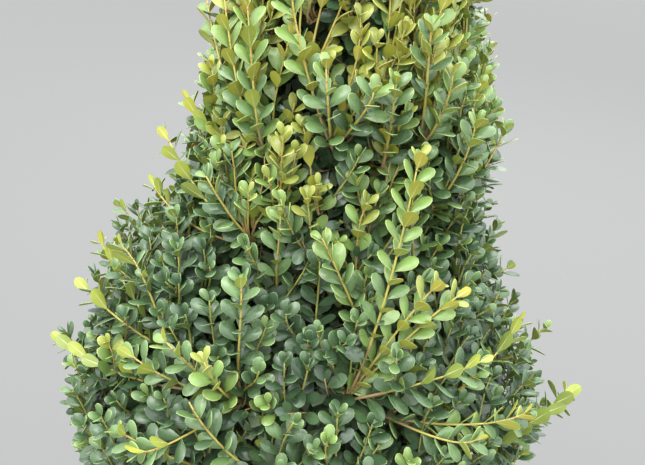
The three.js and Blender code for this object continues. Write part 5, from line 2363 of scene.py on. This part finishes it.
@dataclass(frozen=True)
class Studio:
    """A plain pale floor, soft light and the camera at the photograph's place.

    Attributes:
        eye: The camera's place.
        pitch: Degrees that it looks down.
        roll: Degrees that it leans.
        lens: Focal length in millimetres.
        sensor: The sensor's width in millimetres.
        frame: The photograph's width and height in pixels.
        sky_strength: The sky's light at the horizon and overhead.
        sky_colour: Its tint.
        backdrop: What the camera sees of it.
        floor_colour: The floor's colour.
        floor_reach: Half the floor's width.
        lit_spot: Where the lights aim, in the middle of the crown.
    """

    eye: Triple = (0.021, -0.913, 1.202)
    pitch: float = 23.6
    roll: float = 6.6
    lens: float = 55.81
    sensor: float = 36.0
    frame: tuple[int, int] = (645, 465)
    sky_strength: Pair = (1.25, 3.5)
    sky_colour: Colour = (0.96, 0.98, 1.0, 1.0)
    backdrop: Colour = (0.60, 0.61, 0.62, 1.0)
    floor_colour: Colour = (0.175, 0.175, 0.171, 1.0)
    floor_reach: float = 14.0
    lit_spot: Triple = (0.02, 0.0, 0.75)

    def focal(self) -> float:
        """The focal length in pixels of the frame."""
        return self.lens / self.sensor * self.frame[0]

    def axes(self) -> tuple[Array, Array, Array]:
        """The camera's right, top and ahead: looking along +Y, pitched down, then leaned about ahead."""
        pitch, roll = math.radians(self.pitch), math.radians(self.roll)
        ahead = np.array([0, math.cos(pitch), -math.sin(pitch)])
        level, upward = np.array([1.0, 0, 0]), np.array([0, math.sin(pitch), math.cos(pitch)])
        right = math.cos(roll) * level + math.sin(roll) * upward
        return right, math.cos(roll) * upward - math.sin(roll) * level, ahead

    def ray(self, x: float, y: float) -> Array:
        """The way that a pixel of the frame looks.

        Args:
            x: Pixels from the frame's left edge.
            y: Pixels from its top.

        Returns:
            A unit direction.
        """
        right, top, ahead = self.axes()
        across, down = x - 0.5 * self.frame[0], y - 0.5 * self.frame[1]
        return unit(ahead + (right * across - top * down) / self.focal())

    def floor(self) -> None:
        """Lays the floor, level with the pot's underside."""
        mesh = bpy.data.meshes.new("floor")
        corners = self.floor_reach * np.array([(-1, -1, 0), (1, -1, 0), (1, 1, 0), (-1, 1, 0)])
        mesh.from_pydata(corners.tolist(), [], [(0, 1, 2, 3)])
        shader = Shader("pale_floor")
        shader.set("Base Color", self.floor_colour)
        shader.set("Roughness", 0.9)
        mesh.materials.append(shader.material)
        linked("floor", mesh)

    def lamp(self, name: str, place: Triple, size: float, power: float, tint: Triple) -> None:
        """Hangs one square soft light that faces the crown.

        Args:
            name: The light's name.
            place: Where it hangs.
            size: Metres along a side.
            power: Watts.
            tint: Its colour.
        """
        light = bpy.data.lights.new(name, "AREA")
        light.size = size
        light.energy = power
        light.color = tint
        way = unit(np.subtract(self.lit_spot, place))
        side = unit(np.cross(way, [0.0, 0.0, 1.0]))
        lamp = linked(name, light)
        lamp.matrix_world = looking(side, np.cross(side, way), way, place)
        lamp.visible_camera = False

    def camera(self) -> None:
        """Sets up the camera at the photograph's place."""
        right, top, ahead = self.axes()
        data = bpy.data.cameras.new("camera")
        data.lens = self.lens
        data.sensor_width = self.sensor
        data.sensor_fit = "HORIZONTAL"
        data.clip_start = 0.05
        data.clip_end = 60.0
        camera = linked("camera", data)
        camera.matrix_world = looking(right, top, ahead, self.eye)
        bpy.context.scene.camera = camera

    def sky(self) -> None:
        """Lights all from an overcast sky, brightest overhead, which the camera sees as a grey backdrop."""
        world = bpy.data.worlds.new("sky")
        world.use_nodes = True
        tree = world.node_tree
        place = added(tree, "TexCoord", {}).outputs["Generated"]
        height = added(tree, "SeparateXYZ", {0: place}).outputs["Z"]
        low, high = self.sky_strength
        strength = added(tree, "MapRange", {"Value": height, "To Min": low, "To Max": high}).outputs["Result"]
        bright = tree.nodes["Background"]
        bright.inputs["Color"].default_value = self.sky_colour
        tree.links.new(strength, bright.inputs["Strength"])
        backdrop = added(tree, "Background", {"Color": self.backdrop})
        seen = added(tree, "LightPath", {}).outputs["Is Camera Ray"]
        either = added(tree, "MixShader", {0: seen, 1: bright.outputs[0], 2: backdrop.outputs[0]})
        tree.links.new(either.outputs[0], tree.nodes["World Output"].inputs["Surface"])
        bpy.context.scene.world = world

    def build(self) -> None:
        """Sets the floor, the lights, the sky and the camera."""
        self.floor()
        self.lamp("key", (-0.8, -1.0, 2.5), 1.3, 28.0, (1.0, 0.98, 0.94))
        self.lamp("fill", (2.4, -1.6, 1.7), 2.4, 10.0, (0.94, 0.97, 1.0))
        self.lamp("back", (0.6, 2.6, 2.8), 2.4, 45.0, (1.0, 0.99, 0.95))
        self.sky()
        bpy.context.scene.view_settings.view_transform = "Standard"
        self.camera()


def main() -> None:
    """Loads the frame, sets up the studio and builds every part of the plant over it."""
    logging.basicConfig(level=logging.INFO, format="%(name)s: %(message)s")
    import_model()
    studio = Studio()
    studio.build()
    pot = NurseryPot()
    plan = PlantPlan()
    crown = Crown(plan.outline, studio)
    pieces = [pot.build(), *MulchBed(pot).build(), *Limbs(plan).build(), *Foliage(plan, crown).build()]
    LOG.info("%d pieces", len(pieces))
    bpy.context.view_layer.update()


if __name__ == "__main__":
    main()
